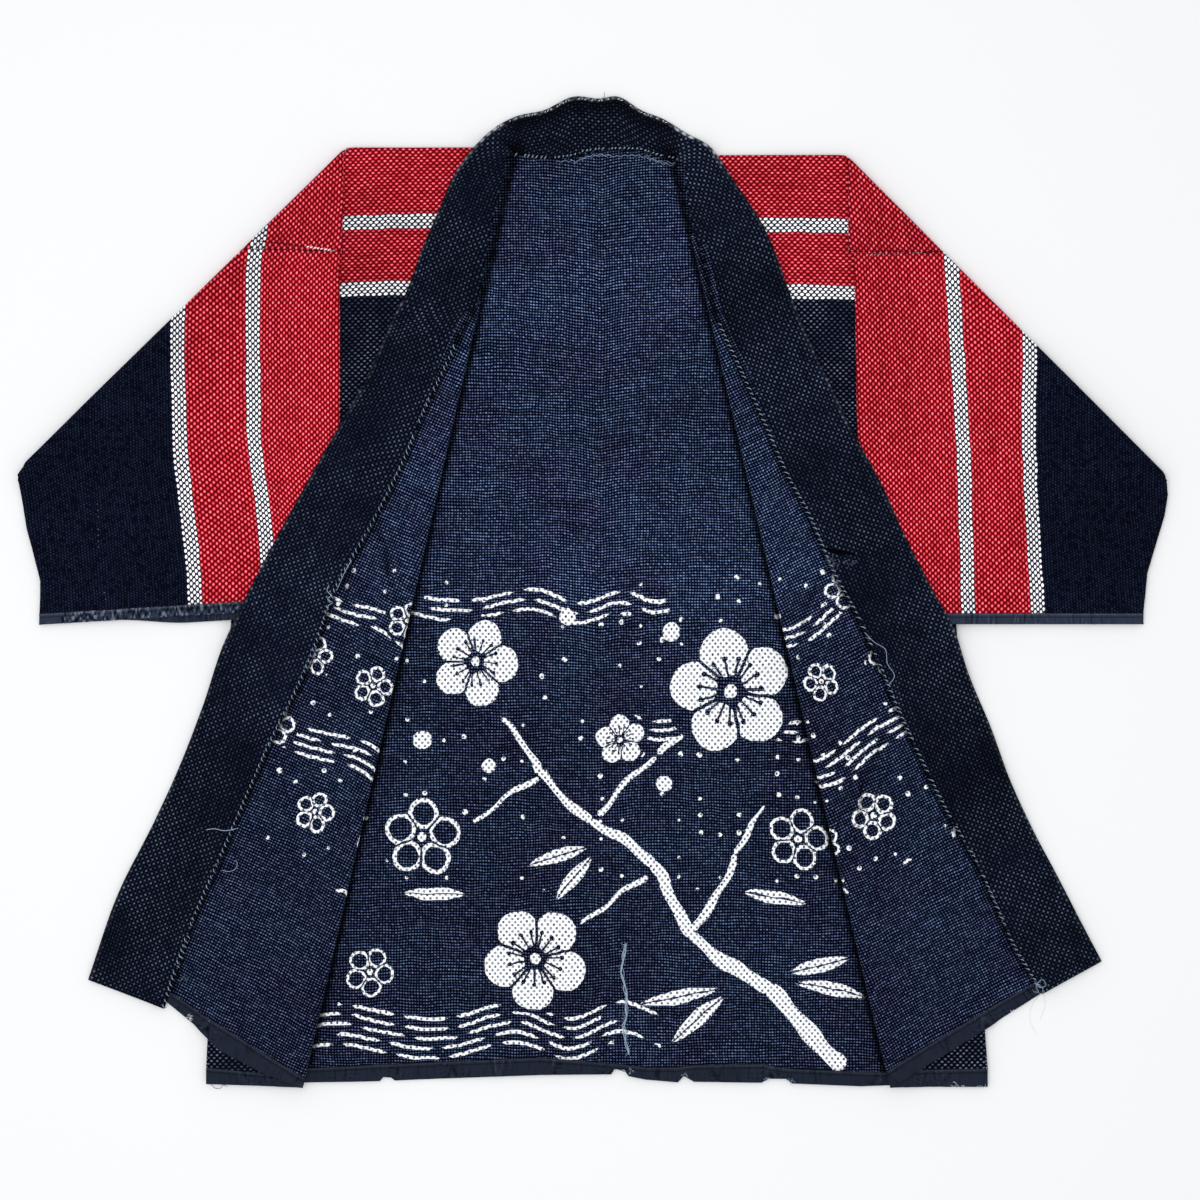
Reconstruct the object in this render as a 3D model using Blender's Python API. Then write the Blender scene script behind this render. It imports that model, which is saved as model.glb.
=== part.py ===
# A happi coat of thick woven cotton, laid on its back with the fronts turned open and the sleeves
# folded down over them. +X is to the right across the coat, +Y is towards the neck, +Z is up.
# The origin is under the middle of the coat, on the surface that it lies on.
#
# Each panel is drawn flat, as it is cut, in millimetres: "out" from the middle of the back towards
# a side, "up" towards the neck. A sheet of cloth is then folded and laid on the layers beneath it.

import bmesh
import bpy
from math import cos, hypot, pi, sin
from mathutils import Vector

CLOTH = 1.6            # thickness of the woven cotton
GAP = 0.3              # between two pieces that touch
PITCH = CLOTH + GAP    # from one layer of a stack to the next
BAND = 3.3             # thickness of the doubled collar
HEM_SEAM = 0.4         # between a panel and its binding
SEAM_INSET = 0.6       # between a front and the collar
HOLD = 20.0            # how far past an edge the cloth above stays up
FALL = 14.0            # and over what length it then comes down
CREASE_RADIUS = 1.2    # middle of the inner cloth round the sleeve's crease
ROLL_RADIUS = 2.2      # middle of the front's cloth round its turned edge
SETTLE = 45.0          # how far from a fold the cloth lies down again
COARSE = 60.0          # mesh size where the cloth is flat
FINE = 23.0            # and where it is draped

RIGHT_WAY = {"left": -1, "right": 1}

# The sizes of each half, which differ a little as the coat lies.
HALVES = {
    "left": {
        "shoulder": 385.8,            # height of the shoulder fold
        "armhole": 308.0,             # the armhole seam, from the middle
        "underarm": 119.0,            # height of the lower end of that seam
        "side": 337.6,                # the side seam at the hem
        "crease": (216.6, 385.8),     # where the sleeve's crease leaves the shoulder
        "crease_way": (-0.7135, 0.7006),
        "fold": (98.1, 254.5),        # a point on the front's turned edge
        "fold_way": (-0.2205, 0.9754),
        "sway": 13.0,                 # how far the sleeve's end swings in
        "slant": 0.079,               # how much its cuff slants, and where it keeps its height
        "slant_from": 384.0,
        "sway_from": 150.0,
        "sway_to": -5.0,
        "turn_row": 4,                # the first section of the collar beside the facing inside
        "turn_up": 254.5,             # where the front starts to turn back
    },
    "right": {
        "shoulder": 379.3,
        "armhole": 303.6,
        "underarm": 112.5,
        "side": 341.0,
        "crease": (218.4, 379.3),
        "crease_way": (-0.707, 0.707),
        "fold": (83.5, 306.2),
        "fold_way": (-0.2272, 0.9738),
        "sway": 0.0,
        "slant": 0.0,
        "slant_from": 384.0,
        "sway_from": 150.0,
        "sway_to": -5.0,
        "turn_row": 4,
        "turn_up": 312.0,
    },
}

# The sleeve's flat cut: how far from the armhole, and how far below the shoulder the top fold
# and the underarm seam lie. The last row is the cuff.
SLEEVE_COLUMNS = ("along", "top", "bottom")
SLEEVES = {
    "left": ((0.6, 2.0, 266.0), (172.0, -1.5, 277.5), (184.0, -1.8, 275.5), (191.0, -2.0, 274.0),
             (198.0, -2.0, 277.5), (209.0, -2.2, 279.8), (219.0, -2.4, 279.0), (240.0, -3.0, 277.6),
             (283.0, -3.5, 269.3), (313.5, -4.0, 270.3)),
    "right": ((0.6, 5.0, 266.0), (176.0, 8.1, 280.0), (188.0, 8.3, 277.5), (195.0, 8.5, 275.0),
              (202.0, 8.5, 276.5), (211.0, 8.7, 277.5), (229.0, 9.0, 274.8), (279.0, 9.5, 259.8),
              (314.0, 9.5, 256.3)),
}
TIP_ROW = 3              # the row where the crease meets the underarm seam, rounded by its neighbours
CUFF_BINDING = 9.5

# The hem of each front, flat: distance from the middle, height of the cloth's edge, height of
# the binding's lower edge.
FRONT_HEM_COLUMNS = ("out", "cloth", "binding")
FRONT_HEMS = {
    "left": ((337.6, -413.0, -427.2), (252.0, -421.0, -429.8), (210.0, -418.6, -434.2),
             (170.0, -413.8, -432.8), (143.0, -410.9, -423.2), (112.0, -406.4, -415.0)),
    "right": ((341.0, -414.0, -429.8), (252.0, -415.5, -429.8), (200.0, -412.0, -427.0),
              (154.0, -408.2, -422.4), (107.0, -405.7, -415.9)),
}

# The hem of the back: distance to the right of the middle, height of the cloth's edge, height of
# the binding's lower edge, which is torn in four places.
BACK_HEM_COLUMNS = ("across", "cloth", "binding")
BACK_HEM = (
    (-337.6, -417.5, -427.2), (-211.0, -412.0, -425.5), (-187.0, -410.6, -425.0), (-184.0, -410.6, -421.5),
    (-177.0, -410.4, -422.0), (-174.0, -410.3, -424.5), (-48.0, -404.5, -419.5), (14.0, -409.5, -419.0),
    (17.0, -409.8, -414.5), (25.5, -410.5, -415.0), (29.0, -411.0, -420.5), (44.0, -413.0, -423.5),
    (72.0, -413.0, -426.0), (77.0, -412.2, -420.5), (86.0, -411.0, -425.5), (145.0, -410.0, -426.3),
    (150.0, -411.0, -422.8), (166.0, -413.8, -423.0), (171.0, -414.2, -427.0), (231.0, -416.7, -429.4),
    (291.0, -418.5, -427.5), (341.0, -420.5, -429.8),
)

# The collar as it lies: a row for each section, from its outer edge to the seam. The three parts
# follow each other from the left hem, round the neck and down to the right hem.
COLLAR_COLUMNS = ("edge_out", "edge_up", "seam_out", "seam_up")
LEFT_COLLAR = (
    (102, 388, 76.5, 376), (117, 369, 80, 358), (135, 331, 91, 313), (150, 296, 97, 278), (164, 258, 106, 240),
    (173, 240, 112.6, 231.5), (181, 223, 128, 198), (198, 185, 147, 159), (220, 145, 165, 115),
    (239, 112, 182, 80), (258, 78, 199, 48), (285, 28, 227, -3), (304, -9, 240, -41), (321, -44, 254, -75),
    (341, -102, 281, -130), (358, -146, 300, -173), (382, -199, 323, -227), (414, -263, 351, -291),
    (439.8, -337, 374.5, -361.5),
)
RIGHT_COLLAR = (
    (97, 388, 77, 371), (107, 376, 79, 357), (119, 358, 81.5, 337), (131, 340, 85, 318),
    (141, 325, 91.5, 297.5), (157, 291, 99, 263), (165, 268, 105.1, 238.7), (184, 221, 126, 192),
    (209, 168, 150, 139), (228, 129, 167, 100), (246, 96, 185, 67), (265, 54, 204, 23), (291, 3, 230, -27),
    (312, -36, 248, -67), (322, -67, 259, -94), (342.5, -116, 281, -142), (360, -164, 304, -189),
    (381.4, -210, 329, -232), (400.6, -246, 348, -272), (418.5, -281, 362, -305), (439.5, -321, 388.5, -348.5),
)
NECK_COLLAR = (
    (-89, 401, -70, 379), (-70, 412, -55, 378), (-44, 418, -35, 377), (-18, 429.8, -13, 379), (3, 428, 4, 384),
    (20, 429.8, 22, 384), (40, 418, 39, 384), (60, 410, 55, 378), (81, 397, 70, 375),
)
UNDER_COLLAR = 2.0     # how far the front's neck edge runs under the collar
ACROSS_COLLAR = (0.0, 0.33, 0.66, 1.0)    # shares of its width at which the collar bends
EDGE_ROUND = 1.2       # how round its outer edge is
SEAM_GROOVE = 0.7      # how far it is drawn in along the seam

COLOURS = {
    "navy": (0.012, 0.015, 0.030),
    "red": (0.36, 0.022, 0.030),
    "indigo": (0.028, 0.036, 0.075),
    "binding": (0.035, 0.045, 0.075),
}


def named(columns, rows):
    return [dict(zip(columns, row)) for row in rows]


def smooth(share):
    share = min(max(share, 0.0), 1.0)
    return share * share * (3 - 2 * share)


def past(point, start, way):
    """Signed distance of a flat point past a line, to the left of its way."""
    return way[0] * (point[1] - start[1]) - way[1] * (point[0] - start[0])


def moved(point, way, length):
    """A point moved across a line that runs along way."""
    return (point[0] - way[1] * length, point[1] + way[0] * length)


def distance_outside(point, polygon):
    """How far a point lies outside a polygon, or 0 within it."""
    nearest = 1e9
    inside = False
    for (ax, ay), (bx, by) in zip(polygon, polygon[1:] + polygon[:1]):
        length = (bx - ax) ** 2 + (by - ay) ** 2
        share = ((point[0] - ax) * (bx - ax) + (point[1] - ay) * (by - ay)) / length
        share = min(max(share, 0.0), 1.0)
        nearest = min(nearest, hypot(point[0] - ax - share * (bx - ax), point[1] - ay - share * (by - ay)))
        if (ay > point[1]) != (by > point[1]) and point[0] < ax + (point[1] - ay) * (bx - ax) / (by - ay):
            inside = not inside
    return 0.0 if inside else nearest


def turned(distance, radius, reach, bend):
    """How a sheet runs to a fold, round it and back. The distance is measured past the fold's
    outermost line, the turn takes up the length of a half circle of the radius, and the sheet's
    own middle bends round the smaller bend. Gives the distance as laid and the angle turned."""
    start = distance + reach
    if start <= 0:
        return distance, 0.0
    if start <= pi * radius:
        angle = start / radius
        return bend * sin(angle) - reach, angle
    return -reach - (start - pi * radius), pi


class Half:
    """One half of the coat, with its folds and the ground that each layer covers."""

    def __init__(self, name):
        self.name = name
        self.sign = RIGHT_WAY[name]
        for key, value in HALVES[name].items():
            setattr(self, key, value)
        self.sleeve = named(SLEEVE_COLUMNS, SLEEVES[name])
        self.hem = named(FRONT_HEM_COLUMNS, FRONT_HEMS[name])
        run = LEFT_COLLAR if name == "left" else RIGHT_COLLAR
        self.collar = named(COLLAR_COLUMNS, run)
        # Past the crease is the part of the sleeve that is folded over, past the fold the facing
        # inside of the front.
        self.crease_back = (-self.crease_way[0], -self.crease_way[1])
        self.back_radius = CREASE_RADIUS + PITCH
        self.crease_reach = self.back_radius + CLOTH / 2
        self.fold_reach = ROLL_RADIUS + CLOTH / 2
        cuff = self.sleeve[-1]
        self.cuff = self.armhole + cuff["along"]
        self.crease_end = self.crease_meets_seam()
        self.ground = self.ground_under_sleeve()
        self.front_ground = self.ground_of_front()
        self.flap = self.flap_outline()

    def sleeve_point(self, row, edge):
        return (self.armhole + row["along"], self.shoulder - row[edge])

    def crease_distance(self, point):
        return past(point, self.crease, self.crease_back)

    def fold_distance(self, point):
        return past(point, self.fold, self.fold_way)

    def is_folded(self, point):
        return self.crease_distance(point) > 0

    def is_turned(self, point):
        return self.fold_distance(point) > 0

    def crease_meets_seam(self):
        row = self.sleeve[TIP_ROW]
        drop = self.crease[1] - (self.shoulder - row["bottom"])
        share = drop / -self.crease_back[1]
        return (self.crease[0] + self.crease_back[0] * share, self.crease[1] + self.crease_back[1] * share)

    def ground_under_sleeve(self):
        """The body and the part of the sleeve that isn't folded."""
        lowest = self.hem[0]["binding"]
        return [
            (0.0, self.shoulder), self.crease, self.crease_end, (self.armhole, self.underarm),
            (self.side, lowest), (0.0, lowest),
        ]

    def ground_of_front(self):
        """The lower layer of the front, with its binding."""
        lowest = self.hem[0]["binding"]
        fold_at = self.on_fold(self.shoulder)
        return [
            fold_at, self.crease, (self.armhole, self.underarm + 100.0), (self.armhole, self.underarm),
            (self.side, lowest), self.on_fold(lowest),
        ]

    def on_fold(self, up):
        share = (up - self.fold[1]) / self.fold_way[1]
        return (self.fold[0] + self.fold_way[0] * share, up)

    def flap_outline(self):
        """The folded part of the sleeve as it lies, with its binding."""
        end = self.sleeve[-1]
        cuff_out = self.cuff + CUFF_BINDING
        flat = [(cuff_out, self.shoulder - end["top"]), (cuff_out, self.shoulder - end["bottom"])]
        flat += [self.sleeve_point(row, "bottom") for row in self.sleeve[-2:TIP_ROW - 1:-1]]
        laid = [self.over_crease(point, self.back_radius)[0] for point in flat]
        return [self.crease] + laid + [self.crease_end]

    def over_crease(self, point, radius):
        """A flat point of the sleeve or of the shoulder's corner, and the angle turned through."""
        distance = self.crease_distance(point)
        laid, angle = turned(distance, self.back_radius, self.crease_reach, radius)
        spot = moved(point, self.crease_back, laid - distance)
        if angle == pi:
            share = (self.sway_from - spot[1]) / (self.sway_from - self.sway_to)
            drop = self.slant * (spot[0] - self.slant_from)
            spot = (spot[0] - self.sway * smooth(share), spot[1] - drop * smooth(share))
        return spot, angle

    def unfolded(self, point):
        """The flat place of a laid point on the front's turned part."""
        behind = -self.fold_distance(point)
        flat = behind - 2 * self.fold_reach + pi * ROLL_RADIUS
        return moved(point, self.fold_way, flat + behind)

    def sleeve_cover(self, spot):
        """How far body and sleeve lift what lies on them."""
        beyond = distance_outside(spot, self.ground)
        return 2 * PITCH * (1 - smooth((beyond - HOLD) / FALL))

    def full_cover(self, spot):
        """How far the front and the folded sleeve lift what lies on them."""
        beyond_front = distance_outside(spot, self.front_ground)
        beyond_flap = distance_outside(spot, self.flap)
        lift = 1 - smooth((beyond_front - HOLD) / FALL)
        lift += 1 - smooth((beyond_flap - HOLD) / FALL)
        return 2 * PITCH * lift

    def world(self, spot, height, normal, offset):
        """A point of the cloth, offset along its normal (out, up, high), in metres."""
        out = spot[0] + normal[0] * offset
        up = spot[1] + normal[1] * offset
        return Vector((self.sign * out, up, height + normal[2] * offset)) * 0.001

    def round_crease(self, point, radius):
        """Where a cloth lies that may turn over the crease. Its normal points to its outer face."""
        spot, angle = self.over_crease(point, radius)
        axis = CLOTH / 2 + PITCH + CREASE_RADIUS
        across = moved((0.0, 0.0), self.crease_back, 1.0)
        normal = (across[0] * sin(angle), across[1] * sin(angle), -cos(angle))
        height = axis - radius * cos(angle)
        if angle == pi:
            away = self.crease_distance(point) / SETTLE
            puff = (2 * CREASE_RADIUS - PITCH) * (1 - smooth(away))
            layer = PITCH if radius > CREASE_RADIUS else 0.0
            height = self.sleeve_cover(spot) + layer + CLOTH / 2 + puff
        return spot, height, normal

    def back_cloth(self, point):
        """The back of the body and of the sleeve: lowest, and on top once folded."""
        return self.round_crease(point, self.back_radius)

    def front_cloth(self, point):
        """The front of the sleeve: the two middle layers."""
        return self.round_crease(point, CREASE_RADIUS)

    def front_panel(self, point):
        """The front, which also turns over its own fold, onto the sleeve."""
        distance = self.fold_distance(point)
        if distance < -self.fold_reach:
            return self.front_cloth(point)
        laid, angle = turned(distance, ROLL_RADIUS, self.fold_reach, ROLL_RADIUS)
        spot = moved(point, self.fold_way, laid - distance)
        across = moved((0.0, 0.0), self.fold_way, 1.0)
        normal = (across[0] * sin(angle), across[1] * sin(angle), -cos(angle))
        height = PITCH + CLOTH / 2 + ROLL_RADIUS * (1 - cos(angle))
        if angle == pi:
            puff = (2 * ROLL_RADIUS - PITCH) * (1 - smooth(distance / SETTLE))
            height = self.full_cover(spot) + CLOTH / 2 + puff
        return spot, height, normal


def flat_mesh(outline, cuts):
    """A flat outline cut into triangles along lines, each (point, way, wanted)."""
    mesh = bmesh.new()
    mesh.faces.new([mesh.verts.new((out, up, 0.0)) for out, up in outline])
    for start, way, wanted in cuts:
        faces = [face for face in mesh.faces if wanted is None or wanted(face.calc_center_median())]
        geometry = set(faces)
        for face in faces:
            geometry.update(face.edges)
            geometry.update(face.verts)
        bmesh.ops.bisect_plane(
            mesh, geom=list(geometry), dist=0.02, plane_co=(start[0], start[1], 0.0), plane_no=(-way[1], way[0], 0.0)
        )
    bmesh.ops.triangulate(mesh, faces=mesh.faces[:])
    mesh.verts.index_update()
    points = [(vertex.co.x, vertex.co.y) for vertex in mesh.verts]
    triangles = [tuple(vertex.index for vertex in face.verts) for face in mesh.faces]
    rim = [tuple(vertex.index for vertex in edge.verts) for edge in mesh.edges if edge.is_boundary]
    mesh.free()
    return points, triangles, rim


def grid(outline, size, wanted=None):
    """Cuts at an even spacing both ways over an outline."""
    cuts = []
    for axis, way in ((0, (0.0, 1.0)), (1, (1.0, 0.0))):
        low = min(point[axis] for point in outline)
        high = max(point[axis] for point in outline)
        count = max(1, round((high - low) / size))
        for step in range(1, count):
            place = low + (high - low) * step / count
            cuts.append(((place, place), way, wanted))
    return cuts


def fold_cuts(start, way, reach, radius):
    """Cuts along a fold, at every third of its turn."""
    return [(moved(start, way, pi * radius * step / 3 - reach), way, None) for step in range(4)]


def solid(name, points, faces, material):
    """An object from points and faces that close up, its faces turned outward."""
    mesh = bmesh.new()
    vertices = [mesh.verts.new(point) for point in points]
    for face in faces:
        mesh.faces.new([vertices[index] for index in face])
    bmesh.ops.recalc_face_normals(mesh, faces=mesh.faces[:])
    data = bpy.data.meshes.new(name)
    mesh.to_mesh(data)
    mesh.free()
    data.materials.append(material)
    made = bpy.data.objects.new(name, data)
    bpy.context.scene.collection.objects.link(made)
    return made


def sheet(name, half, place, outline, cuts, material):
    """One cloth with its two faces and its rim."""
    points, triangles, rim = flat_mesh(outline, cuts)
    count = len(points)
    laid = [place(point) for point in points]
    skin = [half.world(spot, height, normal, CLOTH / 2) for spot, height, normal in laid]
    skin += [half.world(spot, height, normal, -CLOTH / 2) for spot, height, normal in laid]
    faces = list(triangles)
    faces += [tuple(count + index for index in reversed(face)) for face in triangles]
    faces += [(a, b, b + count, a + count) for a, b in rim]
    return solid(name, skin, faces, material)


def tube(name, half, outline, cuts, is_closed, material):
    """Two cloths joined along the rims where is_closed holds, and open at the others."""
    points, triangles, rim = flat_mesh(outline, cuts)
    count = len(points)
    low = min(up for out, up in points)
    high = max(up for out, up in points)
    middle = (low + high) / 2
    narrowing = 1 - 2 * CLOTH / (high - low)
    skin = []
    for place in (half.back_cloth, half.front_cloth):
        for point in points:
            spot, height, normal = place(point)
            side = 1 if place == half.back_cloth else -1
            skin.append(half.world(spot, height, normal, side * CLOTH / 2))
        for out, up in points:
            spot, height, normal = place((out, middle + (up - middle) * narrowing))
            side = -1 if place == half.back_cloth else 1
            skin.append(half.world(spot, height, normal, side * CLOTH / 2))
    back_out, back_in, front_out, front_in = (count * step for step in range(4))
    faces = []
    for layer in (back_out, back_in, front_out, front_in):
        faces += [tuple(layer + index for index in face) for face in triangles]
    ends = {True: set(), False: set()}
    for a, b in rim:
        closed = is_closed(points[a], points[b])
        ends[closed].update((a, b))
        pairs = ((back_out, front_out), (back_in, front_in)) if closed else ((back_out, back_in), (front_out, front_in))
        faces += [(one + a, one + b, other + b, other + a) for one, other in pairs]
    for corner in ends[True] & ends[False]:
        faces.append((back_out + corner, front_out + corner, front_in + corner, back_in + corner))
    return solid(name, skin, faces, material)


def material(name, colour, roughness=0.92):
    made = bpy.data.materials.new(name)
    made.use_nodes = True
    shader = made.node_tree.nodes["Principled BSDF"]
    shader.inputs["Base Color"].default_value = (*colour, 1.0)
    shader.inputs["Roughness"].default_value = roughness
    shader.inputs["Metallic"].default_value = 0.0
    return made


def back_place(halves):
    """Places a flat point of the back, given across the whole coat. Its outer face is down."""
    def place(point):
        half = halves["left"] if point[0] < 0 else halves["right"]
        spot, height, normal = half.back_cloth((abs(point[0]), point[1]))
        return (half.sign * spot[0], spot[1]), height, (half.sign * normal[0], normal[1], normal[2])
    return place


def body_back(halves, cloth):
    """The back, with the shoulder corners that fold over with the sleeves."""
    left, right = halves["left"], halves["right"]
    neck = [(row[2], row[3] - HEM_SEAM) for row in NECK_COLLAR]
    outline = [(-left.armhole, left.shoulder), (-left.on_fold(left.shoulder)[0], left.shoulder)]
    outline += neck
    outline += [(right.on_fold(right.shoulder)[0], right.shoulder), (right.armhole, right.shoulder)]
    outline += [(right.armhole, right.underarm)]
    outline += [(row["across"], row["cloth"]) for row in reversed(named(BACK_HEM_COLUMNS, BACK_HEM))]
    outline += [(-left.armhole, left.underarm)]
    cuts = grid(outline, COARSE)
    for half in (left, right):
        for start, way, wanted in crease_cuts(half):
            cuts.append(((half.sign * start[0], start[1]), (half.sign * way[0], way[1]), wanted))
    whole = halves["right"]
    return sheet("body_back", whole, back_place(halves), outline, cuts, cloth)


def crease_cuts(half):
    """Along the sleeve's crease, alike in every cloth that it turns, so that their edges match."""
    return fold_cuts(half.crease, half.crease_back, half.crease_reach, half.back_radius)


def front_cuts(half, outline):
    """Coarse over the flat part, fine where the front is turned back over the sleeve."""
    cuts = fold_cuts(half.fold, half.fold_way, half.fold_reach, ROLL_RADIUS)
    cuts += crease_cuts(half) + grid(outline, COARSE)
    cuts += grid(outline, FINE, half.is_turned)
    return cuts


def seam_line(half):
    """The front's edge along the collar, flat, just clear of the collar."""
    rows = half.collar[half.turn_row:]
    flat = [half.unfolded((row["seam_out"], row["seam_up"])) for row in rows]
    return [(out + SEAM_INSET, up) for out, up in flat]


def seam_down_to(line, up):
    """The part of the seam line above a height, with a last point at that height."""
    kept = [point for point in line if point[1] > up]
    above, below = kept[-1], line[len(kept)]
    share = (up - above[1]) / (below[1] - above[1])
    return kept + [(above[0] + (below[0] - above[0]) * share, up)]


def front(half, cloth):
    """From the side seam to the neck and the turned edge, and back over it to the collar's seam."""
    neck = [(row["seam_out"] + UNDER_COLLAR, row["seam_up"]) for row in half.collar[:half.turn_row]]
    start = moved(half.on_fold(half.turn_up), half.fold_way, -half.fold_reach - GAP)
    seam = seam_down_to(seam_line(half), half.hem[-1]["cloth"])
    outline = [(half.armhole, half.shoulder), (neck[0][0], half.shoulder)] + neck + [start] + seam
    outline += [(row["out"], row["cloth"]) for row in reversed(half.hem[:-1])]
    outline += [(half.armhole, half.underarm)]
    return sheet("front_" + half.name, half, half.front_panel, outline, front_cuts(half, outline), cloth)


def front_binding(half, cloth):
    """The strip that binds the front's hem, turned back with it."""
    last = half.hem[-1]
    upper = seam_down_to(seam_line(half), last["cloth"] - HEM_SEAM)[-1]
    lower = seam_down_to(seam_line(half), last["binding"])[-1]
    outline = [(row["out"], row["cloth"] - HEM_SEAM) for row in half.hem[:-1]]
    outline += [upper, lower]
    outline += [(row["out"], row["binding"]) for row in reversed(half.hem[:-1])]
    cuts = fold_cuts(half.fold, half.fold_way, half.fold_reach, ROLL_RADIUS)
    cuts += grid(outline, FINE, half.is_turned)
    return sheet("hem_binding_" + half.name, half, half.front_panel, outline, cuts, cloth)


def back_binding(halves, cloth):
    """The strip that binds the hem of the back, torn here and there."""
    rows = named(BACK_HEM_COLUMNS, BACK_HEM)
    outline = [(row["across"], row["cloth"] - HEM_SEAM) for row in rows]
    outline += [(row["across"], row["binding"]) for row in reversed(rows)]
    whole = halves["right"]
    return sheet("hem_binding_back", whole, back_place(halves), outline, [], cloth)


def sleeve_outline(half, rows):
    outline = [half.sleeve_point(row, "top") for row in rows]
    return outline + [half.sleeve_point(row, "bottom") for row in reversed(rows)]


def sleeve(half, cloth):
    """A flattened tube, folded over the crease, open at the armhole and the cuff."""
    outline = sleeve_outline(half, half.sleeve)
    start = outline[0][0]

    def is_closed(a, b):
        at_armhole = max(a[0], b[0]) < start + 0.1
        at_cuff = min(a[0], b[0]) > half.cuff - 0.1
        return not (at_armhole or at_cuff)
    cuts = crease_cuts(half) + grid(outline, COARSE) + grid(outline, FINE, half.is_folded)
    return tube("sleeve_" + half.name, half, outline, cuts, is_closed, cloth)


def cuff_binding(half, cloth):
    """The ring of plain cotton round the cuff."""
    end = half.sleeve[-1]
    rows = [dict(end, along=end["along"] + HEM_SEAM), dict(end, along=end["along"] + CUFF_BINDING)]
    outline = sleeve_outline(half, rows)

    def is_closed(a, b):
        return abs(a[0] - b[0]) > 0.1
    cuts = grid(outline, FINE)
    return tube("cuff_binding_" + half.name, half, outline, cuts, is_closed, cloth)


def collar_rows(halves):
    """All sections of the collar in one run, across the whole coat."""
    rows = []
    for row in reversed(halves["left"].collar):
        rows.append((-row["edge_out"], row["edge_up"], -row["seam_out"], row["seam_up"]))
    rows += NECK_COLLAR
    for row in halves["right"].collar:
        rows.append(tuple(row[name] for name in COLLAR_COLUMNS))
    return rows


def between(one, other, share):
    return tuple(a + (b - a) * share for a, b in zip(one, other))


def collar_ring(halves, station):
    """The closed outline of one section of the collar, on whatever lies beneath."""
    edge, seam = station[:2], station[2:]
    width = hypot(edge[0] - seam[0], edge[1] - seam[1])

    def at(length, height):
        x, y = between(seam, edge, length / width)
        half = halves["left"] if x < 0 else halves["right"]
        return Vector((x, y, half.full_cover((abs(x), y)) + height)) * 0.001
    lengths = [(width - EDGE_ROUND) * share for share in ACROSS_COLLAR]
    ring = [at(length, 0.0) for length in lengths]
    ring.append(at(width, BAND / 2))
    ring += [at(length, BAND) for length in reversed(lengths)]
    ring.append(at(SEAM_GROOVE, BAND / 2))
    return ring


def collar(halves, cloth):
    """A doubled band, rounded at its outer edge and drawn in along the seam."""
    rows = collar_rows(halves)
    stations = []
    for one, other in zip(rows, rows[1:]):
        stations += [one, between(one, other, 0.5)]
    stations.append(rows[-1])
    points = []
    for station in stations:
        points += collar_ring(halves, station)
    ring = len(points) // len(stations)
    faces = []
    for start in range(0, len(points) - ring, ring):
        for step in range(ring):
            a = start + step
            b = start + (step + 1) % ring
            faces.append((a, b, b + ring))
            faces.append((a, b + ring, a + ring))
    top = len(ACROSS_COLLAR)
    for start in (0, len(points) - ring):
        loop = [start + step for step in range(ring)]
        for step in range(top - 1):
            faces.append((loop[step], loop[step + 1], loop[ring - 3 - step], loop[ring - 2 - step]))
        faces.append((loop[0], loop[ring - 2], loop[ring - 1]))
        faces.append((loop[top - 1], loop[top], loop[top + 1]))
    return solid("collar", points, faces, cloth)


def build():
    for old in list(bpy.data.objects):
        bpy.data.objects.remove(old)
    navy = material("navy cotton", COLOURS["navy"])
    red = material("red cotton", COLOURS["red"])
    indigo = material("indigo inside", COLOURS["indigo"])
    plain = material("plain binding", COLOURS["binding"], 0.8)
    halves = {name: Half(name) for name in RIGHT_WAY}
    body_back(halves, indigo)
    back_binding(halves, plain)
    for half in halves.values():
        front(half, indigo)
        front_binding(half, plain)
        sleeve(half, red)
        cuff_binding(half, plain)
    collar(halves, navy)


build()
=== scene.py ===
import random
from math import ceil, cos, hypot, pi, sin

import bpy
import numpy as np
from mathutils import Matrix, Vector
from mathutils.bvhtree import BVHTree
from mathutils.geometry import delaunay_2d_cdt


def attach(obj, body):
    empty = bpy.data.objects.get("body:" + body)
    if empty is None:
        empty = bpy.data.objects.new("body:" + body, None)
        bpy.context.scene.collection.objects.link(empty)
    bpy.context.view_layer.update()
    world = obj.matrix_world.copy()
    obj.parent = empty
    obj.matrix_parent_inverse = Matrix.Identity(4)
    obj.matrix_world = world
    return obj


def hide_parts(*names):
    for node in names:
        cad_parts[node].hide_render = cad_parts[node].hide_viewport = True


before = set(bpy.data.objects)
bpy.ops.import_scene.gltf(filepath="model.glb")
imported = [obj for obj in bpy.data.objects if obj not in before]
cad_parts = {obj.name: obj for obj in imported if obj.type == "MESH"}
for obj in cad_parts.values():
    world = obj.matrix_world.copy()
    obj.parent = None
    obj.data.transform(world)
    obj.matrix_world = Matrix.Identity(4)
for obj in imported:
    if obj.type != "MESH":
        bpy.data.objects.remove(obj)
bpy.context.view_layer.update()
print("frame loaded")

# Sizes are in millimetres, on the cloth as it is cut: "out" runs from the middle of the back
# towards a side, "up" towards the neck. A cut is then folded and laid on what lies under it.
# The finishes work in metres on the flat cloth.
mm = 0.001
perMetre = 1000.0

# the room: floor, light and camera
room = {
    "middle": (4.35, -6.96),      # what the camera looks at
    "wide": 1044.0,               # how much of the floor it sees
    "cameraHigh": 2300.0, "sensor": 36.0, "farthest": 50000.0,
    "floorSize": 9000.0, "floor": (0.78, 0.78, 0.7878, 1), "floorRough": 0.9, "floorShine": 0.1,
    "sky": 0.96, "skyColour": (0.97, 0.985, 1.0, 1),
    "lampSize": 1600.0, "lampPower": 20.0, "lampAt": (-400.0, 0.0, 2300.0),
}


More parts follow.
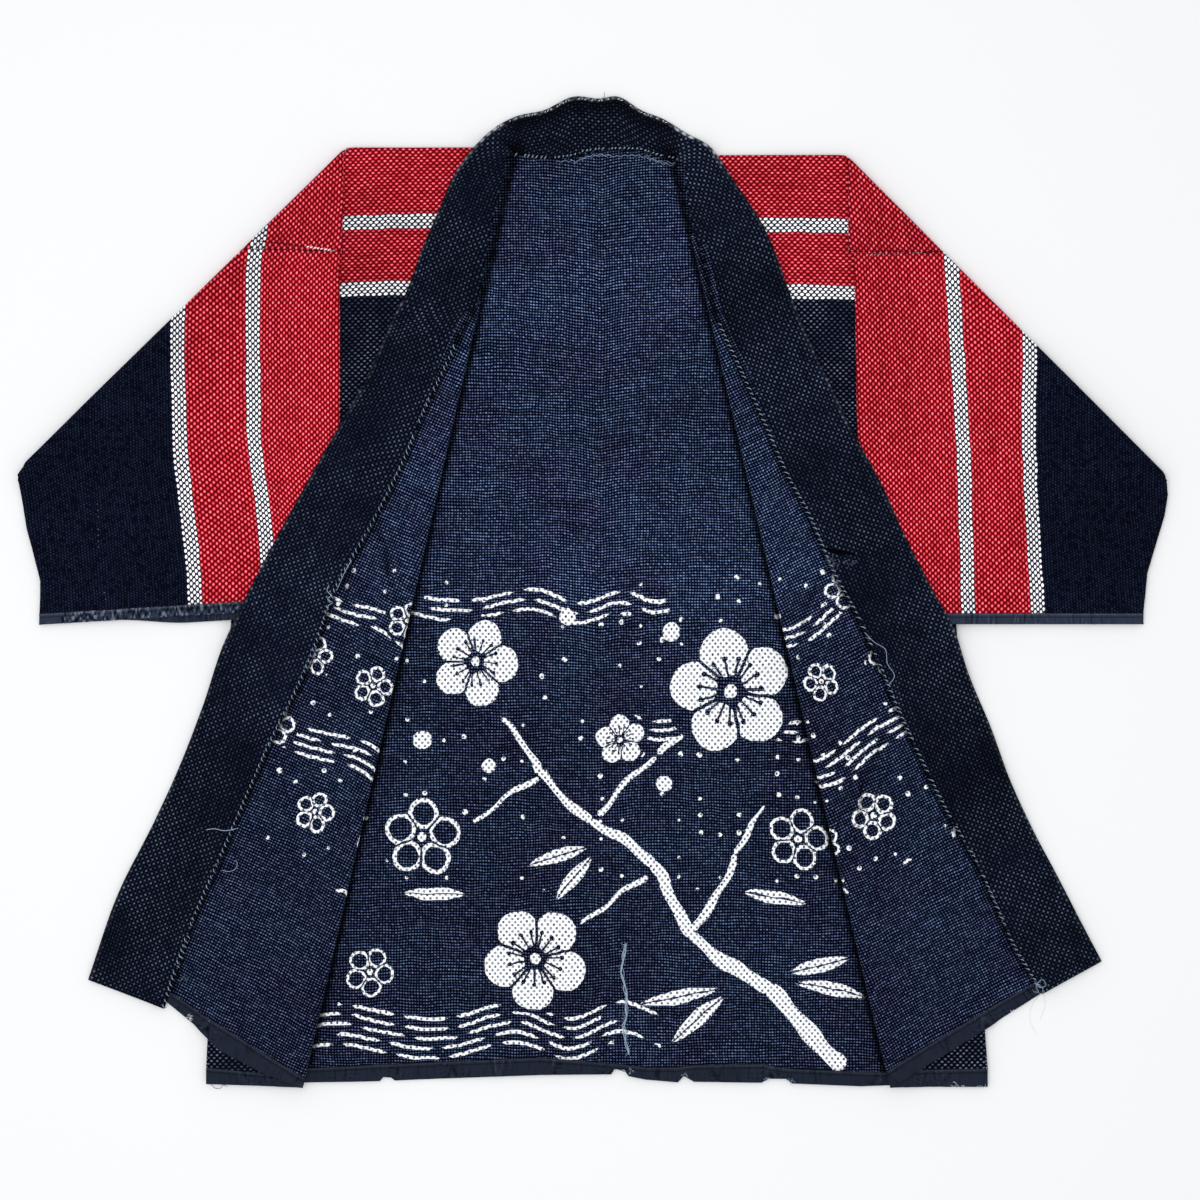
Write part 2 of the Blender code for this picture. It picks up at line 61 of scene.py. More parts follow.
def makeRoom():
    scene = bpy.context.scene
    camera = bpy.data.cameras.new("camera")
    eye = bpy.data.objects.new("camera", camera)
    scene.collection.objects.link(eye)
    x, y = room["middle"]
    eye.location = (x * mm, y * mm, room["cameraHigh"] * mm)
    camera.sensor_width = room["sensor"]
    camera.lens = room["sensor"] * room["cameraHigh"] / room["wide"]
    camera.clip_end = room["farthest"] * mm
    scene.camera = eye
    scene.view_settings.view_transform = "Standard"
    bpy.ops.mesh.primitive_plane_add(size=room["floorSize"] * mm)
    floor = bpy.context.active_object
    floor.name = "floor"
    paper = bpy.data.materials.new("whiteSurface")
    paper.use_nodes = True
    shader = paper.node_tree.nodes["Principled BSDF"]
    shader.inputs["Base Color"].default_value = room["floor"]
    shader.inputs["Roughness"].default_value = room["floorRough"]
    shader.inputs["Specular IOR Level"].default_value = room["floorShine"]
    floor.data.materials.append(paper)
    world = bpy.data.worlds.new("softRoom")
    scene.world = world
    world.use_nodes = True
    sky = world.node_tree.nodes["Background"]
    sky.inputs["Color"].default_value = room["skyColour"]
    sky.inputs["Strength"].default_value = room["sky"]
    lamp = bpy.data.lights.new("window", "AREA")
    lamp.size = room["lampSize"] * mm
    lamp.energy = room["lampPower"]
    holder = bpy.data.objects.new("window", lamp)
    scene.collection.objects.link(holder)
    holder.location = [value * mm for value in room["lampAt"]]
    aim = Vector((0.0, 0.0, 0.0)) - holder.location
    holder.rotation_mode = "QUATERNION"
    holder.rotation_quaternion = aim.to_track_quat("-Z", "Y")


makeRoom()
print("room made")


# A number that varies over a surface: each operator adds its Math node.
class Value:
    def __init__(self, paint, socket):
        self.paint = paint
        self.socket = socket

    def calc(self, operation, *values):
        return self.paint.node("ShaderNodeMath", {"operation": operation}, values)

    def __add__(self, other):
        return self.calc("ADD", self, other)

    def __radd__(self, other):
        return self.calc("ADD", other, self)

    def __sub__(self, other):
        return self.calc("SUBTRACT", self, other)

    def __rsub__(self, other):
        return self.calc("SUBTRACT", other, self)

    def __mul__(self, other):
        return self.calc("MULTIPLY", self, other)

    def __rmul__(self, other):
        return self.calc("MULTIPLY", other, self)

    def __truediv__(self, other):
        return self.calc("DIVIDE", self, other)

    def __gt__(self, other):
        return self.calc("GREATER_THAN", self, other)

    def __lt__(self, other):
        return self.calc("LESS_THAN", self, other)

    def __abs__(self):
        return self.calc("ABSOLUTE", self)

    def floor(self):
        return self.calc("FLOOR", self)

    def sine(self):
        return self.calc("SINE", self)

    def cosine(self):
        return self.calc("COSINE", self)

    def root(self):
        return self.calc("SQRT", self)

    def least(self, other):
        return self.calc("MINIMUM", self, other)

    def most(self, other):
        return self.calc("MAXIMUM", self, other)


class Paint:
    def __init__(self, name, roughness, sheen, specular):
        self.material = bpy.data.materials.new(name)
        self.material.use_nodes = True
        self.tree = self.material.node_tree
        self.shader = self.tree.nodes["Principled BSDF"]
        self.shader.inputs["Roughness"].default_value = roughness
        self.shader.inputs["Sheen Weight"].default_value = sheen
        self.shader.inputs["Sheen Roughness"].default_value = 0.6
        self.shader.inputs["Specular IOR Level"].default_value = specular

    # A node, its settings first, and then the values or links of its sockets.
    def node(self, kind, settings, values, output=0):
        made = self.tree.nodes.new(kind)
        for key, value in settings.items():
            setattr(made, key, value)
        for key, value in values.items() if isinstance(values, dict) else enumerate(values):
            if isinstance(value, Value):
                self.tree.links.new(value.socket, made.inputs[key])
            else:
                made.inputs[key].default_value = value
        return Value(self, made.outputs[output])

    # Both numbers of one of the mesh's layers.
    def layer(self, name):
        place = self.node("ShaderNodeUVMap", {"uv_map": name}, ())
        first = self.node("ShaderNodeSeparateXYZ", {}, [place])
        return first, Value(self, first.socket.node.outputs[1])

    def point(self, x, y, z=0.0):
        return self.node("ShaderNodeCombineXYZ", {}, [x, y, z])

    def noise(self, x, y, scale, detail, seed=0.0):
        place = self.point(x, y, seed)
        return self.node("ShaderNodeTexNoise", {}, {"Vector": place, "Scale": scale, "Detail": detail})

    # A random number from 0 to 1 for each pair of whole numbers.
    def chance(self, x, y):
        settings = {"noise_dimensions": "2D"}
        return self.node("ShaderNodeTexWhiteNoise", settings, {"Vector": self.point(x, y)})

    # 0 at low and 1 at high, and smooth between.
    def ease(self, value, low, high):
        inputs = {"Value": value, "From Min": low, "From Max": high}
        return self.node("ShaderNodeMapRange", {"interpolation_type": "SMOOTHSTEP"}, inputs)

    def mix(self, share, one, other, blend="MIX"):
        one, other = [part if isinstance(part, Value) else (*part, 1) for part in (one, other)]
        settings = {"data_type": "RGBA", "blend_type": blend}
        return self.node("ShaderNodeMix", settings, {0: share, 6: one, 7: other}, 2)

    def shade(self, colour, factor):
        return self.node("ShaderNodeVectorMath", {"operation": "SCALE"}, {0: colour, "Scale": factor})

    # The finished material; relief is the strength and the depth of its threads.
    def finish(self, colour, height=None, relief=None):
        self.tree.links.new(colour.socket, self.shader.inputs["Base Color"])
        if height is not None:
            inputs = {"Height": height, "Strength": relief[0], "Distance": relief[1]}
            bump = self.node("ShaderNodeBump", {}, inputs)
            self.tree.links.new(bump.socket, self.shader.inputs["Normal"])
        return self.material


# The whole number of a cell, and the place in it, from -0.5 to 0.5.
def cellOf(x):
    whole = x.floor()
    return whole, x - whole - 0.5


# From low to low + more, as the value goes from 0 to 1.
def ranged(value, low, more):
    return low + value * more


# Up or down about nothing, by half as much either way.
def swayed(value, by):
    return (value - 0.5) * by


def farOff(x, y):
    return (x * x + y * y).root()


# Floats in rows, each row half a float on from the last, as on a leaning chequerboard.
def lattice(paint, u, v, c):
    line, fy = cellOf(v / c["row"])
    column, fx = cellOf(u / c["across"] + line * 0.5 + fy * c["lean"])
    return fx, fy, line, paint.chance(column, line)


# A rounded bump, 1 at its middle, as wide and as high as these shares of the lattice.
def bead(fx, fy, size):
    wide, high = size
    return (1.0 - (fx * fx) * (1 / wide**2) - (fy * fy) * (1 / high**2)).most(0.0).root()


outerCloth = {
    "across": 0.0052, "row": 0.0025, "lean": 0.05, "fine": 0.0026,
    "stripes": ((24, 28), (47, 51)),   # first and last weft row of each white stripe
    # half width and half height of a float: in the red and the worn navy, in white, in fine navy
    "float": (0.31, 0.46), "whiteFloat": (0.330, 0.470), "fineFloat": (0.45, 0.42),
    # the Top colours are a painted highlight on the crests of the red and white floats; on the navy, pale
    # worn crests
    "red": (0.66, 0.016, 0.032), "redDeep": (0.115, 0.0008, 0.002), "redTop": (1.0, 0.22, 0.30),
    "white": (0.92, 0.92, 0.94), "whiteDeep": (0.014, 0.012, 0.026), "whiteTop": (1.0, 1.0, 1.0),
    "navy": (0.0070, 0.0108, 0.0260), "navyDeep": (0.0001, 0.0003, 0.0035), "navyTop": (0.225, 0.262, 0.355),
    "crown": 0.62,                     # above this height a float turns to its top colour
    "topShare": (0.30, 0.70), "fineShare": (0.20, 0.75), "wornShare": (0.25, 0.75),
    "worn": (0.38, 0.72),
    "weftLong": 0.06,                  # a weft keeps its tone over this length
    "patchTone": 0.45, "weftTone": 0.20, "floatTone": 0.30, "relief": (0.7, 0.0009),
}


def within(line, rows):
    return (line > rows[0] - 0.5) * (line < rows[1] + 0.5)


# fade is how worn the navy is; fineNavy gives it a close plain weave, as on the sleeves.
def paintOuter(name, fade, bright, fineNavy):
    c = outerCloth
    paint = Paint(name, roughness=0.88, sheen=0.01, specular=0.02)
    u = paint.layer("cut")[0]
    band = paint.layer("dye")[0]
    patch, worn = paint.layer("tone")
    fx, fy, line, luck = lattice(paint, u, band, c)
    inStripe = within(line, c["stripes"][0]) + within(line, c["stripes"][1])
    inNavy = line > c["stripes"][1][1] + 0.5
    raised = bead(fx, fy, c["float"])
    raised = raised + (bead(fx, fy, c["whiteFloat"]) - raised) * inStripe
    if fineNavy:
        column, across = cellOf(u / c["fine"] + line * 0.5)
        fineLuck = paint.chance(column, line)
        plain = bead(across, fy, c["fineFloat"]) * ranged(fineLuck, *c["fineShare"])
        raised = raised + (plain - raised) * inNavy
    weft, deep, top = [
        paint.mix(inNavy, paint.mix(inStripe, c["red" + part], c["white" + part]), c["navy" + part])
        for part in ("", "Deep", "Top")
    ]
    colour = paint.mix(paint.ease(raised, 0.0, c["crown"]), deep, weft)
    # a painted highlight on the crests of the floats, which on the navy shows only where it is worn, as pale
    # worn crests
    topShare = paint.ease(raised, c["crown"], 1.0) * ranged(luck, *c["topShare"])
    faded = fade * ranged(paint.ease(worn, *c["worn"]), *c["wornShare"])
    colour = paint.mix(topShare * (1 - inNavy * (1 - faded)), colour, top)
    weftLuck = paint.chance(line, (u / c["weftLong"]).floor())
    tone = bright + swayed(patch, c["patchTone"]) + swayed(weftLuck, c["weftTone"])
    tone = tone + swayed(luck, c["floatTone"])
    return paint.finish(paint.shade(colour, tone), raised, c["relief"])


innerCloth = {
    "across": 0.00246, "row": 0.00252, "weftLong": 0.045,
    "ground": (0.0001, 0.0004, 0.0050), "warp": (0.005, 0.008, 0.028),
    "thread": (0.031, 0.049, 0.125), "tip": (0.258, 0.335, 0.505),
    "tints": ((1.05, 0.96, 1.07), (0.90, 1.01, 1.04)), "tintFrom": (0.3, 0.7),
    # a dash of weft: half width and half height, and how luck narrows it and leans it
    "dash": (0.42, 0.31), "narrow": (1.30, -0.42), "lean": (0.30, -0.45),
    "warpFrom": (0.30, 0.50), "warpShare": 0.22,
    # how much shows at least, and what every second dash and luck add
    "threadFrom": (0.10, 0.75), "threadShare": (0.50, 0.20, 0.30),
    # tip: a painted highlight on the crest of a dash
    "tipFrom": (0.50, 1.0), "tipShare": (0.13, 0.14, 0.52),
    "patchTone": 0.55, "cloudTone": 0.55, "weftTone": 0.40,
    "darker": ((0.3960, 0.3985, 0.18), (0.40, 0.49, 0.18)),   # below the shoulder: from, to, by how much
    "resist": (0.92, 0.93, 0.95), "resistTone": (0.86, 0.16),
    # the warp ends that stay blue in the print
    "speck": (0.03, 0.035, 0.06), "speckAcross": 0.0051, "speckRow": 0.0030,
    "speckSize": (0.22, 0.40), "speckTo": 0.6, "speckShare": (0.62, 0.38),
    "follow": 0.34,                    # how far the print's edges keep to the weave
    # shade: a painted shadow beside the edge that lies over this cloth
    "shade": (0.0062, 0.0012, 0.88),   # beside the cloth that lies over this one: from, to, how deep
    "dashHigh": 0.7, "warpHigh": 0.25, "relief": (0.7, 0.0007),
}


# The back of the weave: short weft dashes between thin warps. The "dye" layer says how far below the
# shoulder a place is, and how far off the edge that lies over this cloth is, which sets a painted shadow
# beside that edge.
def paintInner(name, pattern=None):
    c = innerCloth
    paint = Paint(name, roughness=0.9, sheen=0.01, specular=0.01)
    u, v = paint.layer("cut")
    patch, cloud = paint.layer("tone")
    lower, near = paint.layer("dye")
    column, fx = cellOf(u / c["across"])
    line, fy = cellOf(v / c["row"])
    luck = paint.chance(column, line)
    every = (column + line) * 0.5
    second = (every - every.floor()) * 2
    dash = bead(fx * ranged(luck, *c["narrow"]), fy - fx * ranged(luck, *c["lean"]), c["dash"])
    warp = paint.ease(abs(fx), *c["warpFrom"])
    colour = paint.mix(warp * c["warpShare"], c["ground"], c["warp"])
    # the dashes take their thread colour, and a painted highlight at their crests
    for part, lucky in (("thread", luck), ("tip", luck * luck)):
        least, bySecond, byLuck = c[part + "Share"]
        share = paint.ease(dash, *c[part + "From"]) * (least + second * bySecond + lucky * byLuck)
        colour = paint.mix(share, colour, c[part])
    colour = paint.mix(1.0, colour, paint.mix(paint.ease(cloud, *c["tintFrom"]), *c["tints"]), "MULTIPLY")
    weftLuck = paint.chance(line, (u / c["weftLong"]).floor())
    tone = 1.0 + swayed(patch, c["patchTone"]) + swayed(cloud, c["cloudTone"])
    tone = tone + swayed(weftLuck, c["weftTone"])
    for low, high, deep in c["darker"]:
        tone = tone * (1 - paint.ease(lower, low, high) * deep)
    colour = paint.shade(colour, tone)
    if pattern:
        atU = u + ((column + 0.5) * c["across"] - u) * c["follow"]
        atV = v + ((line + 0.5) * c["row"] - v) * c["follow"]
        printed = pattern(paint, atU * perMetre, atV * perMetre) or paint.point(0.0, 0.0)
        speckLine, sy = cellOf(v / c["speckRow"])
        sx = cellOf(u / c["speckAcross"] + speckLine * 0.5)[1]
        speck = paint.ease(bead(sx, sy, c["speckSize"]), 0.0, c["speckTo"])
        white = paint.mix(speck * ranged(luck, *c["speckShare"]), c["resist"], c["speck"])
        colour = paint.mix(printed, colour, paint.shade(white, ranged(luck, *c["resistTone"])))
    # painted shadow beside the edge that lies over this cloth, and along the turned fronts' creases
    far, close, deep = c["shade"]
    colour = paint.shade(colour, 1 - paint.ease(near, far, close) * deep)
    return paint.finish(colour, dash * c["dashHigh"] + warp * c["warpHigh"], c["relief"])


collarCloth = {
    "across": 0.0054, "row": 0.00272, "lean": 0.0,
    "ground": (0.0001, 0.0004, 0.0036), "weft": (0.0022, 0.0046, 0.0160), "dot": (0.250, 0.330, 0.480),
    "float": (0.36, 0.60), "dotSize": (0.185, 0.36), "secondSize": (0.16, 0.32), "dotFrom": (0.1, 0.9),
    "worn": (0.28, 0.75), "wornShare": (0.12, 0.34), "dotShare": (0.22, 0.78), "secondShare": (0.02, 0.04),
    # the folded outer edge is rubbed pale, most of all round the neck
    "rubbed": (0.62, 0.68, 0.74), "rubFrom": (0.0036, 0.0004), "rubNeck": (0.05, -0.01),
    "rubShare": (0.07, 0.93), "rubFloat": (0.15, 0.85),
    # dark places, past the corners at the neck or from the outer edge: from, to; and by how much. The rolled
    # edge and the corner creases are painted shade; the neck part and the lower runs are simply darker.
    "neck": (0.0, -0.020), "neckDark": 0.34, "low": (0.48, 0.60), "lowDark": 0.20,
    "rolled": (0.022, 0.004), "rolledDark": 0.45, "rolledDots": 0.75,
    "valley": (-0.026, -0.003), "valleyEnd": (0.0024, 0.0004), "valleyEdge": (0.006, 0.026),
    "valleyDark": 0.93,
    # a short slit in the right run: place along and across the band, half length, half width, turn
    "slit": (1.3508, 0.0570, 0.0150, 0.0021, -0.946), "slitEdge": (1.15, 0.75), "slitDark": 0.97,
    "tone": 0.86, "floatHigh": 0.75, "dotHigh": 0.45, "relief": (0.7, 0.0009),
}


def paintCollar(name):
    c = collarCloth
    paint = Paint(name, roughness=0.88, sheen=0.01, specular=0.015)
    u, v = paint.layer("cut")
    patch, worn = paint.layer("tone")
    fromEdge, pastCorner = paint.layer("dye")
    fx, fy, line, luck = lattice(paint, u, v, c)
    raised = bead(fx, fy, c["float"])
    dot = paint.ease(bead(fx, fy, c["dotSize"]), *c["dotFrom"])
    second = paint.ease(bead(abs(fx) - 0.5, fy, c["secondSize"]), *c["dotFrom"])
    atNeck = paint.ease(pastCorner, *c["neck"])
    # painted shade along the rolled outer edge of the neck part, which also dims its dots
    rolled = atNeck * paint.ease(fromEdge, *c["rolled"])
    colour = paint.mix(raised, c["ground"], c["weft"])
    dotShare = ranged(paint.ease(worn, *c["worn"]), *c["wornShare"]) * ranged(luck, *c["dotShare"])
    colour = paint.mix(dot * (dotShare * (1 - rolled * c["rolledDots"])), colour, c["dot"])
    colour = paint.mix(second * ranged(luck, *c["secondShare"]), colour, c["dot"])
    rub = paint.ease(fromEdge, *c["rubFrom"]) * luck
    rub = rub * ranged(paint.ease(pastCorner, *c["rubNeck"]), *c["rubShare"])
    colour = paint.mix(rub * ranged(raised, *c["rubFloat"]), colour, c["rubbed"])
    # painted shade in the crease where each run turns into the neck part
    valley = paint.ease(pastCorner, *c["valley"]) * paint.ease(pastCorner, *c["valleyEnd"])
    valley = valley * paint.ease(fromEdge, *c["valleyEdge"])
    # the slit is painted dark, as shade inside the crack
    slitU, slitV, long, wide, turn = c["slit"]
    onward = (u - slitU) * (cos(turn) / long) + (v - slitV) * (sin(turn) / long)
    aside = (v - slitV) * (cos(turn) / wide) - (u - slitU) * (sin(turn) / wide)
    slit = paint.ease(farOff(onward, aside), *c["slitEdge"])
    dark = (1 - valley * c["valleyDark"]) * (1 - rolled * c["rolledDark"]) * (1 - slit * c["slitDark"])
    dark = dark * (1 - atNeck * c["neckDark"]) * (1 - paint.ease(pastCorner, *c["low"]) * c["lowDark"])
    colour = paint.shade(colour, (c["tone"] + swayed(patch, 1.0)) * dark)
    return paint.finish(colour, raised * c["floatHigh"] + dot * c["dotHigh"], c["relief"])


bindingCloth = {
    "base": (0.024, 0.032, 0.056), "pale": (0.150, 0.175, 0.230), "dark": (0.003, 0.005, 0.012),
    # noises: scale, detail, seed
    "crinkle": (170.0, 3.0, 0.0), "stretch": (2.2, 0.5), "fine": (1500.0, 1.0, 2.0),
    "patch": (24.0, 3.0, 5.0),
    # the pleats' dark is painted shade in their troughs, their pale a painted highlight on their crests
    "crinkleBy": 1.3, "darkFrom": (-0.75, 0.10), "paleFrom": (0.25, 1.0), "paleShare": 0.80,
    # a painted shade along a fold beside the seam, and a painted highlight on its lip: how far off, how it
    # fades, how strong
    "foldAt": 0.0034, "fold": (0.0009, 0.00027), "foldDark": 0.45,
    "lipAt": 0.0010, "lip": (0.0009, 0.0), "lipShare": 0.45,
    "tone": (0.72, 0.5), "fineTone": 0.3, "fineHigh": 0.12, "relief": (0.55, 0.0012),
}


# The "dye" layer is the height of the pleats, and the distance from the edge that is sewn on.
def paintBinding(name, bright):
    c = bindingCloth
    paint = Paint(name, roughness=0.87, sheen=0.01, specular=0.03)
    u, v = paint.layer("cut")
    pleat, fromSeam = paint.layer("dye")
    crinkle = paint.noise(u * c["stretch"][0], v * c["stretch"][1], *c["crinkle"])
    fine = paint.noise(u, v, *c["fine"])
    patch = paint.noise(u, v, *c["patch"])
    # painted shade in the troughs of the pleats and crinkles, and a painted highlight on their crests
    pleat = pleat * perMetre + swayed(crinkle, c["crinkleBy"])
    colour = paint.mix(paint.ease(pleat, *c["darkFrom"]), c["dark"], c["base"])
    colour = paint.mix(paint.ease(pleat, *c["paleFrom"]) * c["paleShare"], colour, c["pale"])
    # painted shade along the fold beside the seam, and a painted highlight on its lip
    fold = paint.ease(abs(fromSeam - c["foldAt"]), *c["fold"])
    lip = paint.ease(abs(fromSeam - c["lipAt"]), *c["lip"]) * crinkle
    colour = paint.mix(lip * c["lipShare"], colour, c["pale"])
    tone = (ranged(patch, *c["tone"]) + swayed(fine, c["fineTone"])) * bright
    colour = paint.shade(colour, tone * (1 - fold * c["foldDark"]))
    return paint.finish(colour, crinkle + fine * c["fineHigh"], c["relief"])


threadLook = {"grain": 420.0, "tone": (0.85, 0.3)}


def paintThread(name, colour):
    paint = Paint(name, roughness=0.87, sheen=0.02, specular=0.04)
    place = paint.node("ShaderNodeTexCoord", {}, (), 3)
    grain = paint.node("ShaderNodeTexNoise", {}, {"Vector": place, "Scale": threadLook["grain"]})
    return paint.finish(paint.shade(colour, ranged(grain, *threadLook["tone"])))


# the print on the inside, in millimetres on the flat cloth
printLayout = {
    # middle, size, turn in fifths of a circle, width of its outline if it isn't filled
    "flowers": ((118, -86, 54, 0.10, 0.0), (-104, -62, 38, 0.55, 0.0), (-150, -214, 34, 0.30, 0.10),
                (-52, -318, 46, 0.80, 0.0), (176, -214, 27, 0.45, 0.10), (22, -128, 22, 0.20, 0.0),
                (-196, -330, 22, 0.65, 0.10)),
    "margin": 1.06, "reach": 1.1,      # blue round each flower, and its petals' reach
    "buds": ((66, -34, 8), (-24, -20, 7), (-150, -128, 8), (60, -168, 7), (196, -128, 7), (-92, -150, 6)),
    # boughs: from, to, half width at either end
    "boughs": (((214, -404), (150, -352), 8.0, 6.6), ((143, -346), (92, -300), 6.4, 5.6),
               ((87, -294), (48, -244), 5.4, 4.8), ((44, -238), (4, -196), 4.6, 4.0),
               ((-1, -192), (-46, -160), 3.8, 3.2), ((-51, -157), (-82, -112), 3.0, 2.0),
               ((92, -290), (118, -232), 3.6, 3.0), ((121, -226), (150, -190), 2.8, 1.4),
               ((10, -186), (46, -150), 3.2, 2.6), ((52, -144), (78, -118), 2.4, 1.4),
               ((-50, -166), (-100, -196), 2.6, 1.4), ((38, -252), (-8, -284), 2.8, 1.6)),
    "gnarls": ((17.0, 4.2, 0.0, 2.0), (5.3, 1.3, 1.0, 0.0)),   # wave length, height, start across and up
    # leaves: stalk, tip, half width
    "leaves": (((112, -352), (66, -392), 6.5), ((108, -346), (38, -360), 6.0), ((168, -330),
        (222, -318), 6.5),
               ((172, -338), (236, -352), 6.0), ((-6, -222), (-58, -238), 6.0), ((-2, -230),
                   (-34, -270), 5.5),
               ((128, -262), (186, -268), 5.5), ((-112, -262), (-168, -262), 5.5)),
    "vein": 0.7,
    # water: its lowest line, spacing, number of lines, wave height, wave length, from and to across
    "water": ((-402, 8.5, 5, 7.0, 118, -250, 34), (-128, 8.0, 3, 5.0, 90, 40, 210),
              (-24, 8.5, 3, 5.0, 96, -150, 60)),
    "sprayLow": -260.0, "sprayHigh": 14.0,
    # each part of the back has a finish with only the shapes that reach into it
    "across": (-400.0, -110.0, 0.0, 110.0, 400.0), "up": (-450.0, -240.0, -110.0, 30.0), "spare": 12.0,
}

# in shares of the flower's size
plum = {
    "petalAt": 0.60, "petal": 0.385, "parting": 0.028, "core": 0.21, "eye": 0.10, "outlineEye": 0.12,
    "stamens": 3, "stamenTip": 0.50, "stamenWide": 0.020, "anther": 0.0019,
}


def plumFlower(u, v, x, y, size, turn, outline):
    p = plum
    x = (u - x) / size
    y = (v - y) / size
    far = farOff(x, y)
    angle = y.calc("ARCTAN2", y, x) * (2.5 / pi) + turn
    sector = cellOf(angle)[1] * (0.4 * pi)
    along = far * sector.cosine() - p["petalAt"]
    aside = far * sector.sine()
    fromMiddle = farOff(along, aside)
    parted = far * (0.2 * pi - abs(sector)).sine() > p["parting"]
    if outline:
        petal = (fromMiddle < p["petal"]) * (fromMiddle > p["petal"] - outline) * parted
        return petal.most(far < p["outlineEye"])
    petal = (fromMiddle < p["petal"]) * parted * (far > p["core"])
    spread = cellOf(angle * p["stamens"])[1] * (0.4 / p["stamens"] * pi)
    lateral = far * spread.sine()
    tip = far - p["stamenTip"]
    stamen = (abs(lateral) < p["stamenWide"]) * (far < p["stamenTip"])
    stamen = stamen.most((tip * tip + lateral * lateral) < p["anther"])
    return (petal * (1 - stamen)).most(far < p["eye"])


def stroke(u, v, start, end, wide, tip):
    dx, dy = end[0] - start[0], end[1] - start[1]
    along = (u - start[0]) * (dx / (dx * dx + dy * dy)) + (v - start[1]) * (dy / (dx * dx + dy * dy))
    along = along.most(0.0).least(1.0)
    return farOff(u - start[0] - along * dx, v - start[1] - along * dy) < wide + along * (tip - wide)


def leaf(u, v, stalk, tip, wide):
    dx, dy = tip[0] - stalk[0], tip[1] - stalk[1]
    length = hypot(dx, dy)
    along = ((u - stalk[0]) * dx + (v - stalk[1]) * dy) / length**2
    aside = abs(((v - stalk[1]) * dx - (u - stalk[0]) * dy) / length)
    return (aside < along * (1 - along) * (4 * wide)) * (aside > printLayout["vein"])


water = {
    "waver": 2.7,                      # a slower wave bends the first, in its lengths
    "ragged": 60.0, "dash": 46.0, "shift": 3.0, "start": (0.0, 0.12), "end": (0.86, 0.74), "thick": 0.17,
}


def waterLines(paint, u, v, low, spacing, count, high, long, left, right):
    w = water
    wave = (u * (2 * pi / long) + (u * (2 * pi / (long * w["waver"]))).sine()).sine() * high
    level = (v - low - wave) / spacing
    line, across = cellOf(level)
    luck = paint.chance(line, low)
    reach = u + swayed(luck, w["ragged"])
    dashes = reach / w["dash"] + luck * w["shift"]
    step = dashes - dashes.floor()
    thin = paint.ease(step, *w["start"]) * paint.ease(step, *w["end"])
    shown = (level > 0.0) * (level < count) * (reach > left) * (reach < right)
    return shown * (abs(across) < thin * w["thick"])


spray = {"cell": 17.0, "edge": 0.25, "size": (0.07, 0.06), "share": 0.34, "seed": 7.3}


def sprayDots(paint, u, v, low, high):
    x = u / spray["cell"]
    y = v / spray["cell"]
    column, line = x.floor(), y.floor()
    luck = paint.chance(column, line)
    other = paint.chance(line + spray["seed"], column)
    dx = x - column - spray["edge"] - luck * 0.5
    dy = y - line - spray["edge"] - other * 0.5
    dots = (farOff(dx, dy) < ranged(other, *spray["size"])) * (luck < spray["share"])
    return dots * (v > low) * (v < high)


def meets(zone, points, wide):
    wide += printLayout["spare"]
    x, y = [point[0] for point in points], [point[1] for point in points]
    low, high = zone[0] - wide, zone[2] + wide
    return max(x) > low and min(x) < high and max(y) > zone[1] - wide and min(y) < zone[3] + wide


def joined(shapes):
    whole = shapes[0]
    for shape in shapes[1:]:
        whole = whole.most(shape)
    return whole


# The shapes within a zone: left, low, right, high.
def backPattern(paint, u, v, zone):
    layout = printLayout
    # boughs are gnarled, so their lines waver
    bentU, bentV = u, v
    for long, high, startU, startV in layout["gnarls"]:
        bentU = bentU + (v / long + startU).sine() * high
        bentV = bentV + (u / long + startV).sine() * high
    shapes = [stroke(bentU, bentV, *row) for row in layout["boughs"] if meets(zone, row[:2], row[2])]
    shapes += [leaf(u, v, *row) for row in layout["leaves"] if meets(zone, row[:2], row[2])]
    for low, spacing, count, high, long, left, right in layout["water"]:
        ends = ((left - water["ragged"] / 2, low - high),
            (right + water["ragged"] / 2, low + spacing * count + high))
        if meets(zone, ends, 0.0):
            shapes.append(waterLines(paint, u, v, low, spacing, count, high, long, left, right))
    low, high = layout["sprayLow"], layout["sprayHigh"]
    if meets(zone, ((zone[0], low), (zone[2], high)), 0.0):
        shapes.append(sprayDots(paint, u, v, low, high))
    flowers = [row for row in layout["flowers"] if meets(zone, (row[:2],), row[2] * layout["reach"])]
    if shapes:
        shapes = [joined(shapes)]
        for x, y, size, _, _ in flowers:
            shapes = [shapes[0] * (farOff(u - x, v - y) > size * layout["margin"])]
    shapes += [plumFlower(u, v, *flower) for flower in flowers]
    shapes += [farOff(u - x, v - y) < size for x, y, size in layout["buds"] if meets(zone, ((x, y),), size)]
    return joined(shapes) if shapes else None


# The turned fronts: small flowers in no strict order, among broken lines of water.
turnedLayout = {
    "cell": 62.0, "low": -262.0, "high": 10.0, "edge": 0.38, "stray": 0.24, "seed": 3.1,
    "size": (15.0, 7.0), "turn": 0.3, "outline": 0.13, "margin": 1.15, "bare": 0.42,
    "water": ((-170, 8.0, 4, 6.0, 92, -300, 300), (-52, 8.0, 3, 5.0, 76, -300, 300)),
}


